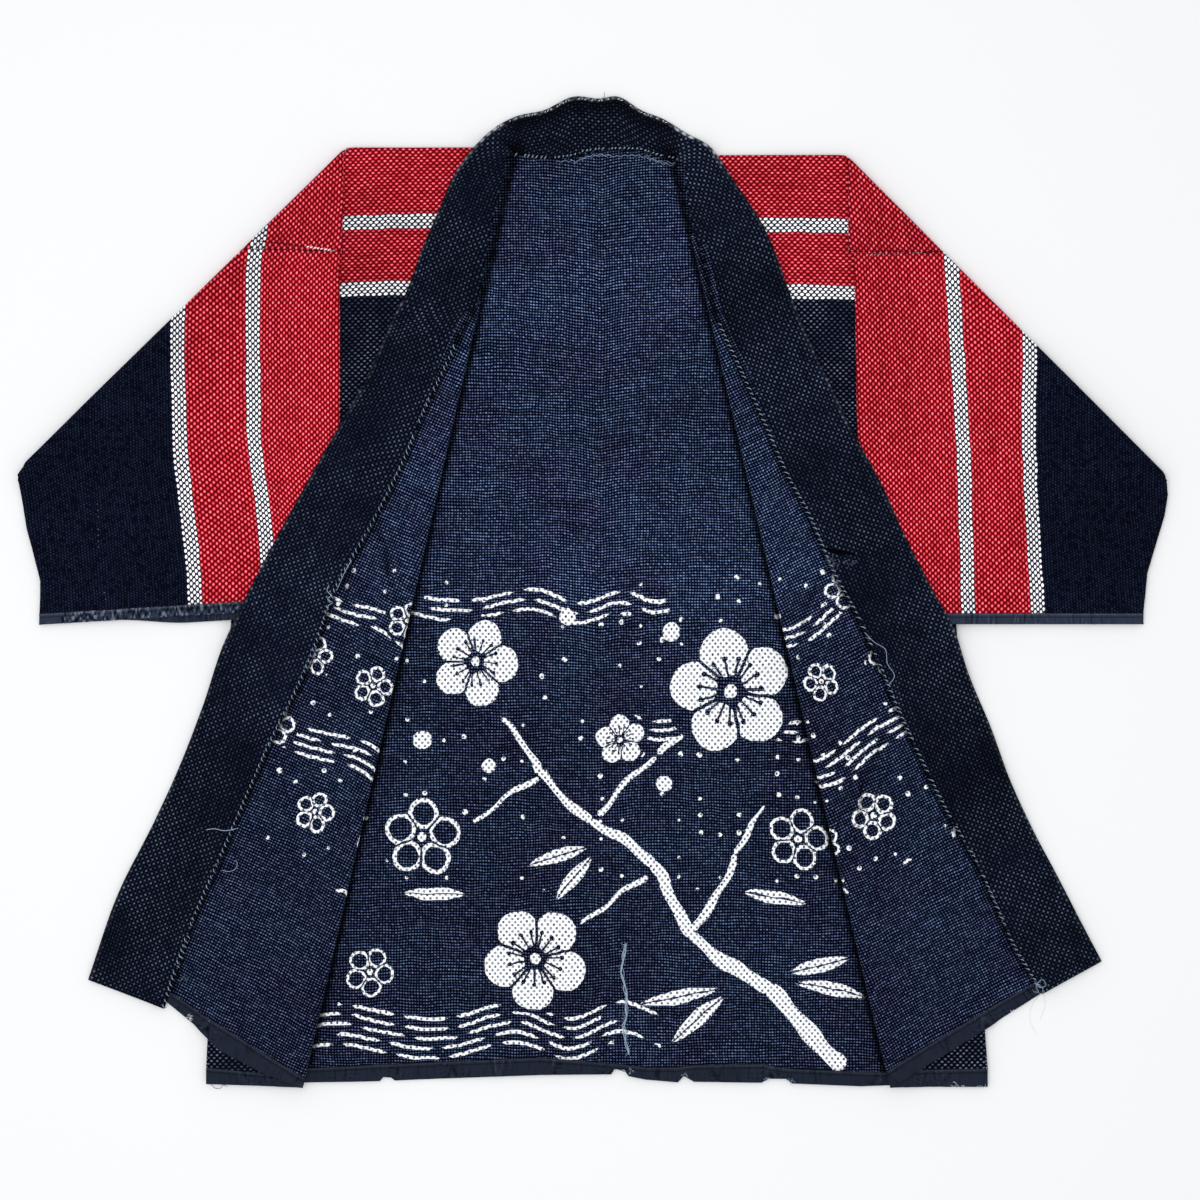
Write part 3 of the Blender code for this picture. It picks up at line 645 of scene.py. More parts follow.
def frontPattern(paint, u, v):
    t = turnedLayout
    x = u / t["cell"]
    y = v / t["cell"]
    column, line = x.floor(), y.floor()
    luck = paint.chance(column, line)
    other = paint.chance(line + t["seed"], column)
    localX = (x - column - t["edge"] - luck * t["stray"]) * t["cell"]
    localY = (y - line - t["edge"] - other * t["stray"]) * t["cell"]
    size = ranged(luck, *t["size"])
    flower = plumFlower(localX / size, localY / size, 0.0, 0.0, 1.0, t["turn"], t["outline"])
    flower = flower * (other > t["bare"])
    clear = (farOff(localX, localY) > size * t["margin"]).most(other < t["bare"])
    lines = sprayDots(paint, u, v, t["low"], t["high"])
    for row in t["water"]:
        lines = lines.most(waterLines(paint, u, v, *row))
    return (lines * clear).most(flower) * (v > t["low"]) * (v < t["high"])


outside = paintOuter("wovenOutside", 0.80, 0.95, False)
outsideSleeve = paintOuter("wovenSleeve", 0.05, 1.08, True)
inside = paintInner("wovenInside")
printZones = [
    (left, low, right, high)
    for left, right in zip(printLayout["across"][:-1], printLayout["across"][1:])
    for low, high in zip(printLayout["up"][:-1], printLayout["up"][1:])
]
insidePrinted = [
    paintInner("wovenInsidePrint" + str(index), lambda paint, u, v, zone=zone: backPattern(paint, u, v, zone))
    for index, zone in enumerate(printZones)
]
insideTurned = paintInner("wovenInsideTurned", frontPattern)
collarFinish = paintCollar("wovenCollar")
hemFinish = paintBinding("hemCotton", 0.52)
cuffFinish = paintBinding("cuffCotton", 1.0)
threadColours = {
    "pale": (0.27, 0.35, 0.46), "blue": (0.090, 0.115, 0.180), "red": (0.040, 0.001, 0.003),
    "white": (0.70, 0.71, 0.72), "pink": (0.95, 0.66, 0.68), "dark": (0.016, 0.021, 0.038),
}
threadFinishes = {kind: paintThread(kind + "Thread", colour) for kind, colour in threadColours.items()}
print("finishes made")

# how the layers of folded cloth lie
stack = {
    "cloth": 1.6, "gap": 0.3,
    "hold": 3.5, "fall": 13.0,         # how far past an edge the cloth above stays up, and comes down
    "creaseRadius": 1.2, "rollRadius": 3.9,
    "settle": 48.0,                    # how far from a fold the cloth lies down again
    "edgeLift": 2.6, "liftOver": 40.0,  # the lower front stands off the back beside its fold
    "swingFrom": 2.0,                  # how far round its crease a sleeve's swing sets in
    "tipRow": 3,                       # the row of a sleeve's sizes where its crease ends
    "turnedOver": 100.0,               # how far above the underarm a turned front lies on the other
    "foldParts": 8, "edgeShares": (0.07, 0.3, 1.0),   # rows of points round a fold, and beside an edge
    "unshaded": 200.0,                 # farther from an edge than its shade reaches
}
thick = stack["cloth"]
pitch = thick + stack["gap"]
# the woven stripes below the shoulder, in the loom's pattern
loom = {"first": 66.0, "apart": 57.5, "tiltOver": 90.0, "seed": 8, "wander": 0.6, "sleeveWander": 0.5}

halfSizes = {
    "left": {
        "sign": -1, "shoulder": 385.8, "armhole": 308.0, "underarm": 119.0, "side": 337.6,
        "crease": (216.6, 385.8), "creaseWay": (-0.7135, 0.7006),
        "fold": (98.1, 254.5), "foldWay": (-0.2205, 0.9754),
        "sway": 13.0, "slant": 0.079, "slantFrom": 384.0, "swayFrom": 150.0, "swayTo": -5.0,
        "turnRow": 4, "turnUp": 254.5,  # the front starts to turn back here, from this row of the collar
        # along the sleeve, then how far below the shoulder its top fold and underarm seam lie
        "sleeve": ((0.6, 2.0, 266.0), (172.0, -1.5, 277.5), (184.0, -1.8, 274.4), (191.0, -2.0, 273.4),
                   (198.0, -2.0, 279.0), (203.0, -2.1, 280.4), (209.0, -2.2, 280.0), (219.0, -2.4, 279.0),
                   (240.0, -3.0, 277.6), (283.0, -3.5, 269.3), (310.9, -4.0, 270.3)),
        # out, height of the cloth's edge, height of the binding's lower edge
        "hem": ((337.6, -413.0, -427.2), (252.0, -421.0, -429.8), (210.0, -418.6, -434.2),
                (170.0, -413.8, -432.8), (143.0, -410.9, -423.2), (112.0, -406.4, -415.0)),
        "stripes": (66.0, 123.5),      # on the body, below the shoulder
        "stripeTilt": 0.034,
        # the back's first stripe: out, below the shoulder
        "backStripe": ((0.0, 68.0), (240.0, 68.0), (287.0, 70.0), (308.0, 72.5)),
        "sleeveStripes": ((0.0, 74.2, 140.5), (22.0, 75.8, 140.2), (123.0, 73.9, 139.2), (253.0, 70.7, 136.0),
                          (313.5, 70.0, 133.8)),
    },
    "right": {
        "sign": 1, "shoulder": 379.3, "armhole": 303.6, "underarm": 112.5, "side": 341.0,
        "crease": (218.4, 379.3), "creaseWay": (-0.707, 0.707),
        "fold": (83.5, 306.2), "foldWay": (-0.2272, 0.9738),
        "sway": 0.0, "slant": 0.0, "slantFrom": 384.0, "swayFrom": 150.0, "swayTo": -5.0,
        "turnRow": 4, "turnUp": 312.0,
        "sleeve": ((0.6, 5.0, 266.0), (176.0, 8.1, 280.0), (188.0, 8.3, 277.5), (195.0, 8.5, 275.0),
                   (202.0, 8.5, 276.5), (211.0, 8.7, 277.5), (229.0, 9.0, 274.8), (279.0, 9.5, 259.8),
                   (314.0, 9.5, 256.3)),
        "hem": ((341.0, -414.0, -429.8), (252.0, -415.5, -429.8), (200.0, -412.0, -427.0),
                (154.0, -408.2, -422.4), (107.0, -405.7, -415.9)),
        "stripes": (62.0, 119.0), "stripeTilt": 0.020,
        "backStripe": ((0.0, 68.0), (200.0, 72.0), (280.0, 84.0), (303.6, 88.0)),
        "sleeveStripes": ((0.0, 88.0, 155.0), (123.0, 96.3, 156.2), (204.0, 101.5, 157.3),
            (286.0, 102.4, 161.9),
                          (314.0, 103.0, 164.0)),
    },
}
cuffBinding = 9.5

# Outer edge of the collar and its seam, as it lies: edge out, edge up, seam out, seam up.
collarRuns = {
    "left": (
        (102, 388, 76.5, 376), (117, 369, 80, 358), (135, 331, 91, 313), (150, 296, 97, 278),
            (164, 258, 106, 240),
        (173, 240, 112.6, 231.5), (181, 223, 128, 198), (198, 185, 147, 159), (220, 145, 165, 115),
        (239, 112, 182, 80), (258, 78, 199, 48), (285, 28, 227, -3), (304, -9, 240, -41),
            (321, -44, 254, -75),
        (341, -102, 281, -130), (358, -146, 300, -173), (382, -199, 323, -227), (414, -263, 351, -291),
        (439.8, -337, 374.5, -361.5),
    ),
    "right": (
        (97, 388, 77, 371), (107, 376, 79, 357), (119, 358, 81.5, 337), (131, 340, 85, 318),
            (141, 325, 91.5, 297.5),
        (157, 291, 99, 263),
        (165, 268, 105.1, 238.7), (184, 221, 126, 192), (209, 168, 150, 139), (228, 129, 167, 100),
        (246, 96, 185, 67), (265, 54, 204, 23), (291, 3, 230, -27), (312, -36, 248, -67),
            (322, -67, 259, -94),
        (342.5, -116, 281, -142), (360, -164, 304, -189), (381.4, -210, 329, -232), (400.6, -246, 348, -272),
        (418.5, -281, 362, -305), (439.5, -321, 388.5, -348.5),
    ),
}
collarNeck = (
    (-89, 401, -70, 379), (-70, 412, -55, 378), (-44, 418, -35, 377), (-18, 429.8, -13, 379),
        (3, 428, 4, 384),
    (20, 429.8, 22, 384), (40, 418, 39, 384), (60, 410, 55, 378), (81, 397, 70, 375),
)
backHem = (
    (-337.6, -417.5, -427.2), (-211.0, -412.0, -425.5), (-187.0, -410.6, -425.0), (-184.0, -410.6, -421.5),
    (-177.0, -410.4, -422.0), (-174.0, -410.3, -424.5), (-48.0, -404.5, -419.5), (14.0, -409.5, -419.0),
    (17.0, -409.8, -414.5), (25.5, -410.5, -415.0), (29.0, -411.0, -420.5), (44.0, -413.0, -423.5),
    (72.0, -413.0, -426.0), (77.0, -412.2, -420.5), (86.0, -411.0, -425.5), (145.0, -410.0, -426.3),
    (150.0, -411.0, -422.8), (166.0, -413.8, -423.0), (171.0, -414.2, -427.0), (231.0, -416.7, -429.4),
    (291.0, -418.5, -427.5), (341.0, -420.5, -429.8),
)


def smooth(share):
    share = np.clip(share, 0.0, 1.0)
    return share * share * (3 - 2 * share)


clouds = {"columns": 61, "lines": 67, "startX": 190.3, "startY": 230.7}


# Smooth random values from 0 to 1 over the cloth, in cells this many millimetres wide.
def cloudy(points, cell, seed):
    columns, lines = clouds["columns"], clouds["lines"]
    table = np.random.default_rng(seed).random((columns, lines))
    x, y = points[:, 0] / cell + clouds["startX"], points[:, 1] / cell + clouds["startY"]
    column, line = np.floor(x).astype(int), np.floor(y).astype(int)
    fx, fy = smooth(x - column), smooth(y - line)
    at = [[table[(column + i) % columns, (line + j) % lines] for j in (0, 1)] for i in (0, 1)]
    low, high = [at[0][j] * (1 - fx) + at[1][j] * fx for j in (0, 1)]
    return low * (1 - fy) + high * fy


# Threads are never quite straight: how far they wander, by cell size.
wander = {
    "small": 13.0, "smallBy": 2.0, "large": 68.0, "largeBy": 5.0, "seed": 6, "aside": 1.6, "asideSeed": 5,
}


def wobble(points, seed):
    w = wander
    small = swayed(cloudy(points, w["small"], seed), w["smallBy"])
    return small + swayed(cloudy(points, w["large"], seed + 1), w["largeBy"])


# share, cell and seed of the clouds in the patches of tone, and in the patches of wear
patchClouds = (
    ((0.5, 115.0, 11), (0.3, 47.0, 12), (0.2, 19.0, 13)),
    ((0.45, 48.0, 14), (0.35, 21.0, 15), (0.2, 9.0, 16)),
)


def patches(points):
    mixed = [sum(share * cloudy(points, cell, seed) for share, cell, seed in rows) for rows in patchClouds]
    return np.stack(mixed, axis=1)


def past(points, start, way):
    return way[0] * (points[:, 1] - start[1]) - way[1] * (points[:, 0] - start[0])


def moved(points, way, length):
    length = np.broadcast_to(length, len(points))
    return points + np.stack([-way[1] * length, way[0] * length], axis=1)


# Distance to the straight line between two points.
def toSpan(points, a, b):
    dx, dy = b[0] - a[0], b[1] - a[1]
    x, y = points[:, 0] - a[0], points[:, 1] - a[1]
    share = np.clip((x * dx + y * dy) / max(dx * dx + dy * dy, 1e-9), 0, 1)
    return np.hypot(x - share * dx, y - share * dy)


def toLine(points, line):
    return np.min([toSpan(points, a, b) for a, b in zip(line[:-1], line[1:])], axis=0)


# Distance to the nearest edge of a polygon, and whether each point is in it.
def toEdge(points, polygon):
    polygon = np.asarray(polygon, float)
    inSide = np.zeros(len(points), bool)
    x, y = points[:, 0], points[:, 1]
    for (ax, ay), (bx, by) in zip(polygon, np.roll(polygon, -1, axis=0)):
        if ay != by:
            inSide ^= ((ay > y) != (by > y)) & (x < ax + (y - ay) * (bx - ax) / (by - ay))
    return toLine(points, np.concatenate([polygon, polygon[:1]])), inSide


def beyond(points, polygon):
    nearest, inSide = toEdge(points, polygon)
    return np.where(inSide, 0.0, nearest)


# The cloth is never quite flat: long low waves, the same in every layer.
swells = {
    # length, way, start and height
    "waves": ((210, 0.3, 0.0, 0.42), (150, 1.9, 1.0, 0.34), (97, 2.7, 2.2, 0.22), (71, 1.1, 0.5, 0.14),
              (260, 2.2, 4.0, 0.40)),
    "bend": 0.9, "slow": 1.7,          # how far a wave's crest bends, in its lengths
}


def swell(x, y):
    high = np.zeros(len(x))
    for length, way, start, size in swells["waves"]:
        run = x * cos(way) + y * sin(way)
        side = y * cos(way) - x * sin(way)
        bend = swells["bend"] * np.sin(side * 2 * pi / (length * swells["slow"]))
        high += size * (1 + np.sin(run * 2 * pi / length + start + bend))
    return high


class Half:
    def __init__(self, name):
        self.name = name
        for key, value in halfSizes[name].items():
            setattr(self, key, value)
        self.creaseBack = (-self.creaseWay[0], -self.creaseWay[1])
        self.backRadius = stack["creaseRadius"] + pitch
        self.creaseReach = self.backRadius + thick / 2
        self.roll = stack["rollRadius"]
        self.foldReach = self.roll + thick / 2
        self.cuff = self.armhole + self.sleeve[-1][0]
        self.along = [self.armhole + row[0] for row in self.sleeve]
        self.tops = [self.shoulder - row[1] for row in self.sleeve]
        self.bottoms = [self.shoulder - row[2] for row in self.sleeve]
        tip = stack["tipRow"]
        share = (self.crease[1] - self.bottoms[tip]) / -self.creaseBack[1]
        self.creaseEnd = tuple(start + way * share for start, way in zip(self.crease, self.creaseBack))
        lowest = self.hem[0][2]
        self.ground = [
            (0.0, self.shoulder), self.crease, self.creaseEnd, (self.armhole, self.underarm),
            (self.side, lowest), (0.0, lowest),
        ]
        self.frontGround = [
            self.onFold(self.shoulder), self.crease, (self.armhole, self.underarm + stack["turnedOver"]),
            (self.armhole, self.underarm), (self.side, lowest), self.onFold(lowest),
        ]
        end = self.cuff + cuffBinding
        flat = [(end, self.tops[-1]), (end, self.bottoms[-1])]
        flat += list(zip(self.along[:tip:-1], self.bottoms[:tip:-1]))
        laid = self.overCrease(np.array(flat), 0.0)[0]
        self.flap = [self.crease] + [tuple(spot) for spot in laid] + [self.creaseEnd]

    def onFold(self, up):
        share = (up - self.fold[1]) / self.foldWay[1]
        return (self.fold[0] + self.foldWay[0] * share, up)

    def creaseDistance(self, points):
        return past(points, self.crease, self.creaseBack)

    def foldDistance(self, points):
        return past(points, self.fold, self.foldWay)

    def overCrease(self, points, depth):
        distance = self.creaseDistance(points)
        start = distance + self.creaseReach
        angle = np.clip(start / self.backRadius, 0, pi)
        bent = (self.backRadius - depth) * np.sin(angle) - self.creaseReach
        over = pi * self.backRadius - start - self.creaseReach
        laid = np.where(start <= 0, distance, np.where(angle < pi, bent, over))
        spot = moved(points, self.creaseBack, laid - distance)
        swing = smooth((self.swayFrom - spot[:, 1]) / (self.swayFrom - self.swayTo))
        swing = swing * smooth((angle - stack["swingFrom"]) / (pi - stack["swingFrom"]))
        drop = self.slant * (spot[:, 0] - self.slantFrom)
        spot = spot - np.stack([self.sway * swing, drop * swing], axis=1)
        return spot, angle

    # How deep in the two layers a cloth's middle lies: they meet halfway at a folded edge.
    def depthOf(self, points, isFront, isSleeve=False):
        along, tops = [self.armhole] + self.along, [self.shoulder] + self.tops
        edge = np.interp(points[:, 0], along, tops) - points[:, 1]
        edge = np.where(points[:, 0] <= self.armhole, self.shoulder - points[:, 1], edge)
        if isSleeve:
            edge = np.minimum(edge, points[:, 1] - np.interp(points[:, 0], self.along, self.bottoms))
        share = 1 - np.clip(edge / (pitch / 2), 0, 1)
        inBy = pitch / 2 * (1 - np.sqrt(np.clip(1 - share * share, 0, 1)))
        return pitch - inBy if isFront else inBy

    def sleeveCover(self, spot):
        return 2 * pitch * (1 - smooth((beyond(spot, self.ground) - stack["hold"]) / stack["fall"]))

    def fullCover(self, spot):
        lift = 1 - smooth((beyond(spot, self.frontGround) - stack["hold"]) / stack["fall"])
        lift += 1 - smooth((beyond(spot, self.flap) - stack["hold"]) / stack["fall"])
        return 2 * pitch * lift

    def place(self, points, depth):
        spot, angle = self.overCrease(points, depth)
        axis = thick / 2 + pitch + stack["creaseRadius"]
        height = axis - (self.backRadius - depth) * np.cos(angle)
        away = 1 - smooth(self.creaseDistance(points) / stack["settle"])
        puff = (2 * stack["creaseRadius"] - pitch) * away
        flat = self.sleeveCover(spot) + pitch - depth + thick / 2 + puff
        return spot, np.where(angle >= pi, flat, height)

    def placeFront(self, points):
        distance = self.foldDistance(points)
        spot, height = self.place(points, self.depthOf(points, True))
        lift = stack["edgeLift"] * (1 - smooth((-distance - self.foldReach) / stack["liftOver"]))
        start = distance + self.foldReach
        angle = np.clip(start / self.roll, 0, pi)
        laid = np.where(angle < pi, self.roll * np.sin(angle), pi * self.roll - start) - self.foldReach
        over = moved(points, self.foldWay, laid - distance)
        rolled = pitch + thick / 2 + stack["edgeLift"] + self.roll * (1 - np.cos(angle))
        away = 1 - smooth(distance / stack["settle"])
        rest = self.fullCover(over) + thick / 2 + (2 * self.roll - pitch + stack["edgeLift"]) * away
        turned = start > 0
        spot = np.where(turned[:, None], over, spot)
        height = np.where(turned, np.where(angle < pi, rolled, rest), height + lift)
        return spot, height

    # How far below the shoulder a thread of the body lies in the loom's pattern of stripes.
    def bandOf(self, points, isBack=False):
        over = loom["tiltOver"]
        tilt = self.stripeTilt * np.clip(self.armhole - over - points[:, 0], -over, over)
        if isBack:
            marks = np.array(self.backStripe)
            tilt = self.stripes[0] - np.interp(points[:, 0], marks[:, 0], marks[:, 1])
        below = self.shoulder - points[:, 1] + loom["first"] - self.stripes[0]
        return below + tilt + wobble(points, loom["seed"]) * loom["wander"]

    def unfolded(self, points):
        behind = -self.foldDistance(points)
        flat = behind - 2 * self.foldReach + pi * self.roll
        return moved(points, self.foldWay, flat + behind)

    def world(self, spot, height):
        x = self.sign * spot[:, 0]
        return np.stack([x, spot[:, 1], height + swell(x, spot[:, 1])], axis=1)


halves = {name: Half(name) for name in halfSizes}


# in shares of the spacing: how close to a row or an edge a point may be, and how far apart lines are
net = {"crossing": 0.3, "line": 0.9, "clear": 0.45, "rowClear": 0.35, "merge": 1e-4}


# Fills an outline with triangles about as large as spacing. Rows are (start, way, offset) lines
# that keep points of their own, along a fold.
def cutOut(outline, spacing, rows=()):
    outline = np.array(outline, float)
    border = []
    for a, b in zip(outline, np.roll(outline, -1, axis=0)):
        length = hypot(*(b - a))
        count = max(1, ceil(length / spacing))
        crossings = []
        for start, way, offset in rows:
            ends = past(np.array([a, b]), start, way) - offset
            if ends[0] * ends[1] < 0:
                crossings.append(ends[0] / (ends[0] - ends[1]))
        near = net["crossing"] * spacing / max(length, 1e-6)
        shares = [step / count for step in range(count)]
        shares = [own for own in shares if own == 0 or all(abs(own - other) > near for other in crossings)]
        border += [a + (b - a) * share for share in sorted(shares + crossings)]
    low, high = outline.min(axis=0), outline.max(axis=0)
    rise = spacing * net["line"]
    across = np.arange(low[0] + spacing / 2, high[0], spacing)
    upward = np.arange(low[1] + spacing / 2, high[1], rise)
    inner = np.stack([grid.ravel() for grid in np.meshgrid(across, upward)], axis=1)
    shift = np.round((inner[:, 1] - low[1]) / rise) % 2
    inner[:, 0] += (shift - 0.5) * spacing * 0.5
    distance, inSide = toEdge(inner, outline)
    keep = inSide & (distance > spacing * net["clear"])
    for start, way, offset in rows:
        keep &= np.abs(past(inner, start, way) - offset) > spacing * net["clear"]
    chosen = [inner[keep]]
    span = hypot(*(high - low))
    for start, way, offset in rows:
        steps = np.arange(-span, span, spacing)
        line = np.array(start) + np.outer(steps, way) + np.array([-way[1], way[0]]) * offset
        distance, inSide = toEdge(line, outline)
        chosen.append(line[inSide & (distance > spacing * net["rowClear"])])
    points = np.concatenate([np.array(border)] + chosen)
    ring = [list(range(len(border)))]
    result = delaunay_2d_cdt([Vector(point) for point in points], [], ring, 1, net["merge"])
    points = np.array([tuple(point) for point in result[0]])
    faces = np.array(result[2])
    a, b, c = (points[faces[:, step]] for step in range(3))
    area = ((b[:, 0] - a[:, 0]) * (c[:, 1] - a[:, 1]) - (b[:, 1] - a[:, 1]) * (c[:, 0] - a[:, 0])) / 2
    faces[area < 0] = faces[area < 0][:, ::-1]
    return points, faces, float(np.abs(area).sum())


# Layers of the mesh: "cut" is the place on the cloth, "tone" its patches, "dye" two more for the finish.
def makeMesh(name, points, faces, finishes, uv=None, dye=None, indices=None):
    data = bpy.data.meshes.new(name)
    data.from_pydata((np.asarray(points) * mm).tolist(), [], [tuple(face) for face in faces])
    data.update()
    loops = np.empty(len(data.loops), int)
    data.loops.foreach_get("vertex_index", loops)
    if uv is not None:
        uv = np.asarray(uv, float)
        aside = swayed(cloudy(uv, wander["small"], wander["asideSeed"]), wander["aside"])
        drawn = np.stack([uv[:, 0] + aside, uv[:, 1] + wobble(uv, wander["seed"])], axis=1)
        for layer, values in (("cut", drawn * mm), ("tone", patches(uv)), ("dye", np.asarray(dye) * mm)):
            made = data.uv_layers.new(name=layer)
            made.data.foreach_set("uv", values[loops].astype(np.float32).ravel())
    for finish in finishes:
        data.materials.append(finish)
    if indices is not None:
        data.polygons.foreach_set("material_index", indices)
    data.shade_smooth()
    made = bpy.data.objects.new(name, data)
    bpy.context.scene.collection.objects.link(made)
    return made


# Two layers of cloth as one mesh: of each, where it lies, its cloth and its dye.
def makeDouble(name, half, faces, layers, finishes):
    turned = []
    for isFront, layer in zip((False, True), layers):
        flip = isFront != (half.sign > 0)
        turned.append((faces[:, ::-1] if flip else faces) + len(layer[0]) * isFront)
    points, uv, dye = [np.concatenate(part) for part in zip(*layers)]
    return makeMesh(name + half.name.title(), points, np.concatenate(turned), finishes, uv, dye)


def thicken(piece, width, inner=0, rim=0):
    solid = piece.modifiers.new("thickness", "SOLIDIFY")
    solid.thickness = width * mm
    solid.offset = 0.0
    solid.use_rim = True
    solid.material_offset = inner
    solid.material_offset_rim = rim
    solid.use_even_offset = False


shown = []


# A piece rides on the coat and stands for its node.
def wear(piece, node, flat, area):
    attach(piece, "root")
    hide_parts(node)
    flat[0] * mm
    flat[1] * mm
    area * mm * mm
    shown.append(piece)


# Rows of points round a fold.
def foldRows(start, way, reach, radius):
    parts = stack["foldParts"]
    return [(start, way, pi * radius * step / parts - reach) for step in range(parts + 1)]


def creaseRows(half):
    return foldRows(half.crease, half.creaseBack, half.creaseReach, half.backRadius)


def turnRows(half):
    return foldRows(half.fold, half.foldWay, half.foldReach, half.roll)


# Rows that let a folded edge round over, beside the shoulder line.
def edgeRows(up, way=1):
    return [((0.0, up), (1.0, 0.0), -way * pitch / 2 * share) for share in stack["edgeShares"]]


backPiece = {
    "spacing": 5.0, "flat": (680, 815),
    "underFront": 8.0, "underNeck": 3.0,
    # a soft ridge down the middle: where, how it fades at either end, and how it wavers
    "ridge": {"x": 4.5, "from": 372.0, "fromOver": 60.0, "to": -60.0, "toOver": 260.0, "wide": 7.5,
              "high": 2.2, "sway": 2.0, "swayOver": 60.0},
    # the weft dips beside it
    "weftDip": {"x": 5.0, "wide": 26.0, "deep": 6.5, "from": -250.0, "over": 300.0},
}


def backRidge(x, y):
    r = backPiece["ridge"]
    sway = r["sway"] * np.sin(y / r["swayOver"])
    fade = smooth((r["from"] - y) / r["fromOver"]) * smooth((y - r["to"]) / r["toOver"])
    return r["high"] * fade * np.exp(-(((x - r["x"] - sway) / r["wide"]) ** 2))


def makeBack():
    b = backPiece
    left, right = halves["left"], halves["right"]
    outline = [(-left.armhole, left.shoulder),
        (-left.onFold(left.shoulder)[0] - b["underFront"], left.shoulder)]
    outline += [(row[2], row[3] + b["underNeck"]) for row in collarNeck]
    outline += [(right.onFold(right.shoulder)[0] + b["underFront"], right.shoulder)]
    outline += [(right.armhole, right.shoulder), (right.armhole, right.underarm)]
    outline += [row[:2] for row in reversed(backHem)] + [(-left.armhole, left.underarm)]
    # the left half's lines, seen across the whole coat
    rows = [((-start[0], start[1]), (-way[0], way[1]), -offset) for start, way, offset in creaseRows(left)]
    points, faces, area = cutOut(outline, b["spacing"], rows + creaseRows(right))
    placed = np.zeros((len(points), 3))
    band, near = np.zeros(len(points)), np.zeros(len(points))
    onLeft = points[:, 0] < 0
    for half, chosen in ((left, onLeft), (right, ~onLeft)):
        own = points[chosen] * (half.sign, 1)
        placed[chosen] = half.world(*half.place(own, half.depthOf(own, False)))
        band[chosen] = half.bandOf(own, True)
        # how far from the turned front's folded edge, for the painted shadow beside it
        near[chosen] = np.abs(half.foldDistance(own))
    lowLayer = placed[:, 2] - swell(placed[:, 0], placed[:, 1]) < thick
    placed[lowLayer, 2] += backRidge(placed[lowLayer, 0], placed[lowLayer, 1])
    dip = b["weftDip"]
    uv = points.copy()
    fade = smooth((points[:, 1] - dip["from"]) / dip["over"])
    uv[:, 1] += dip["deep"] * fade * np.exp(-np.abs(points[:, 0] - dip["x"]) / dip["wide"])
    x, y = points[faces].mean(axis=1).T
    indices = np.zeros(len(faces), np.int32)
    finishes = [outside, inside]
    for index, (start, low, end, high) in enumerate(printZones):
        indices[(x >= start) & (x < end) & (y >= low) & (y < high)] = 2 + 2 * index
        finishes += [outside, insidePrinted[index]]
    # the lowest layer's outer face is down
    dye = np.stack([band, near], axis=1)
    piece = makeMesh("bodyBack", placed, faces[:, ::-1], finishes, uv, dye, indices)
    thicken(piece, thick, 1)
    wear(piece, "body_back", b["flat"], area)


makeBack()
print("back made")

frontPiece = {
    "spacing": 5.0, "underCollar": 6.0, "underNeck": 4.0, "plainStart": 17.0, "flat": (260, 820),
    "short": 0.3,                      # the turn starts this short of the fold
    "above": 500.0, "below": -600.0,   # ends of the middle line, far off the cloth
    # pressed-in creases of the turned fronts, as they lie: out, up
    "creases": {
        "left": (((196.0, 74.0), (192.3, 54.0), (182.7, 41.0), (178.4, 15.0), (174.0, -7.0)),
                 ((192.3, 54.0), (176.0, 66.0), (160.0, 74.0)), ((205.0, 40.0), (214.0, 2.0),
                     (221.0, -22.0))),
        "right": (((196.0, 14.0), (184.0, -8.0), (176.0, -44.0)),
                  ((250.0, -128.0), (232.0, -164.0), (226.0, -214.0))),
    },
    # the painted shade along a crease is as deep as at this distance from an edge
    "creaseWide": 2.6, "creaseLine": 2.2, "creaseHigh": 0.8,
}


# The collar's seam on the flat cloth of a front, and this far in from it.
def seamLine(half, inset):
    run = np.array(collarRuns[half.name][half.turnRow:], float)
    flat = half.unfolded(run[:, 2:])
    return flat - np.array([inset, 0.0])


def cutSeam(line, up):
    kept = [tuple(point) for point in line if point[1] > up]
    above, below = kept[-1], line[len(kept)]
    share = (up - above[1]) / (below[1] - above[1])
    return kept + [(above[0] + (below[0] - above[0]) * share, up)]


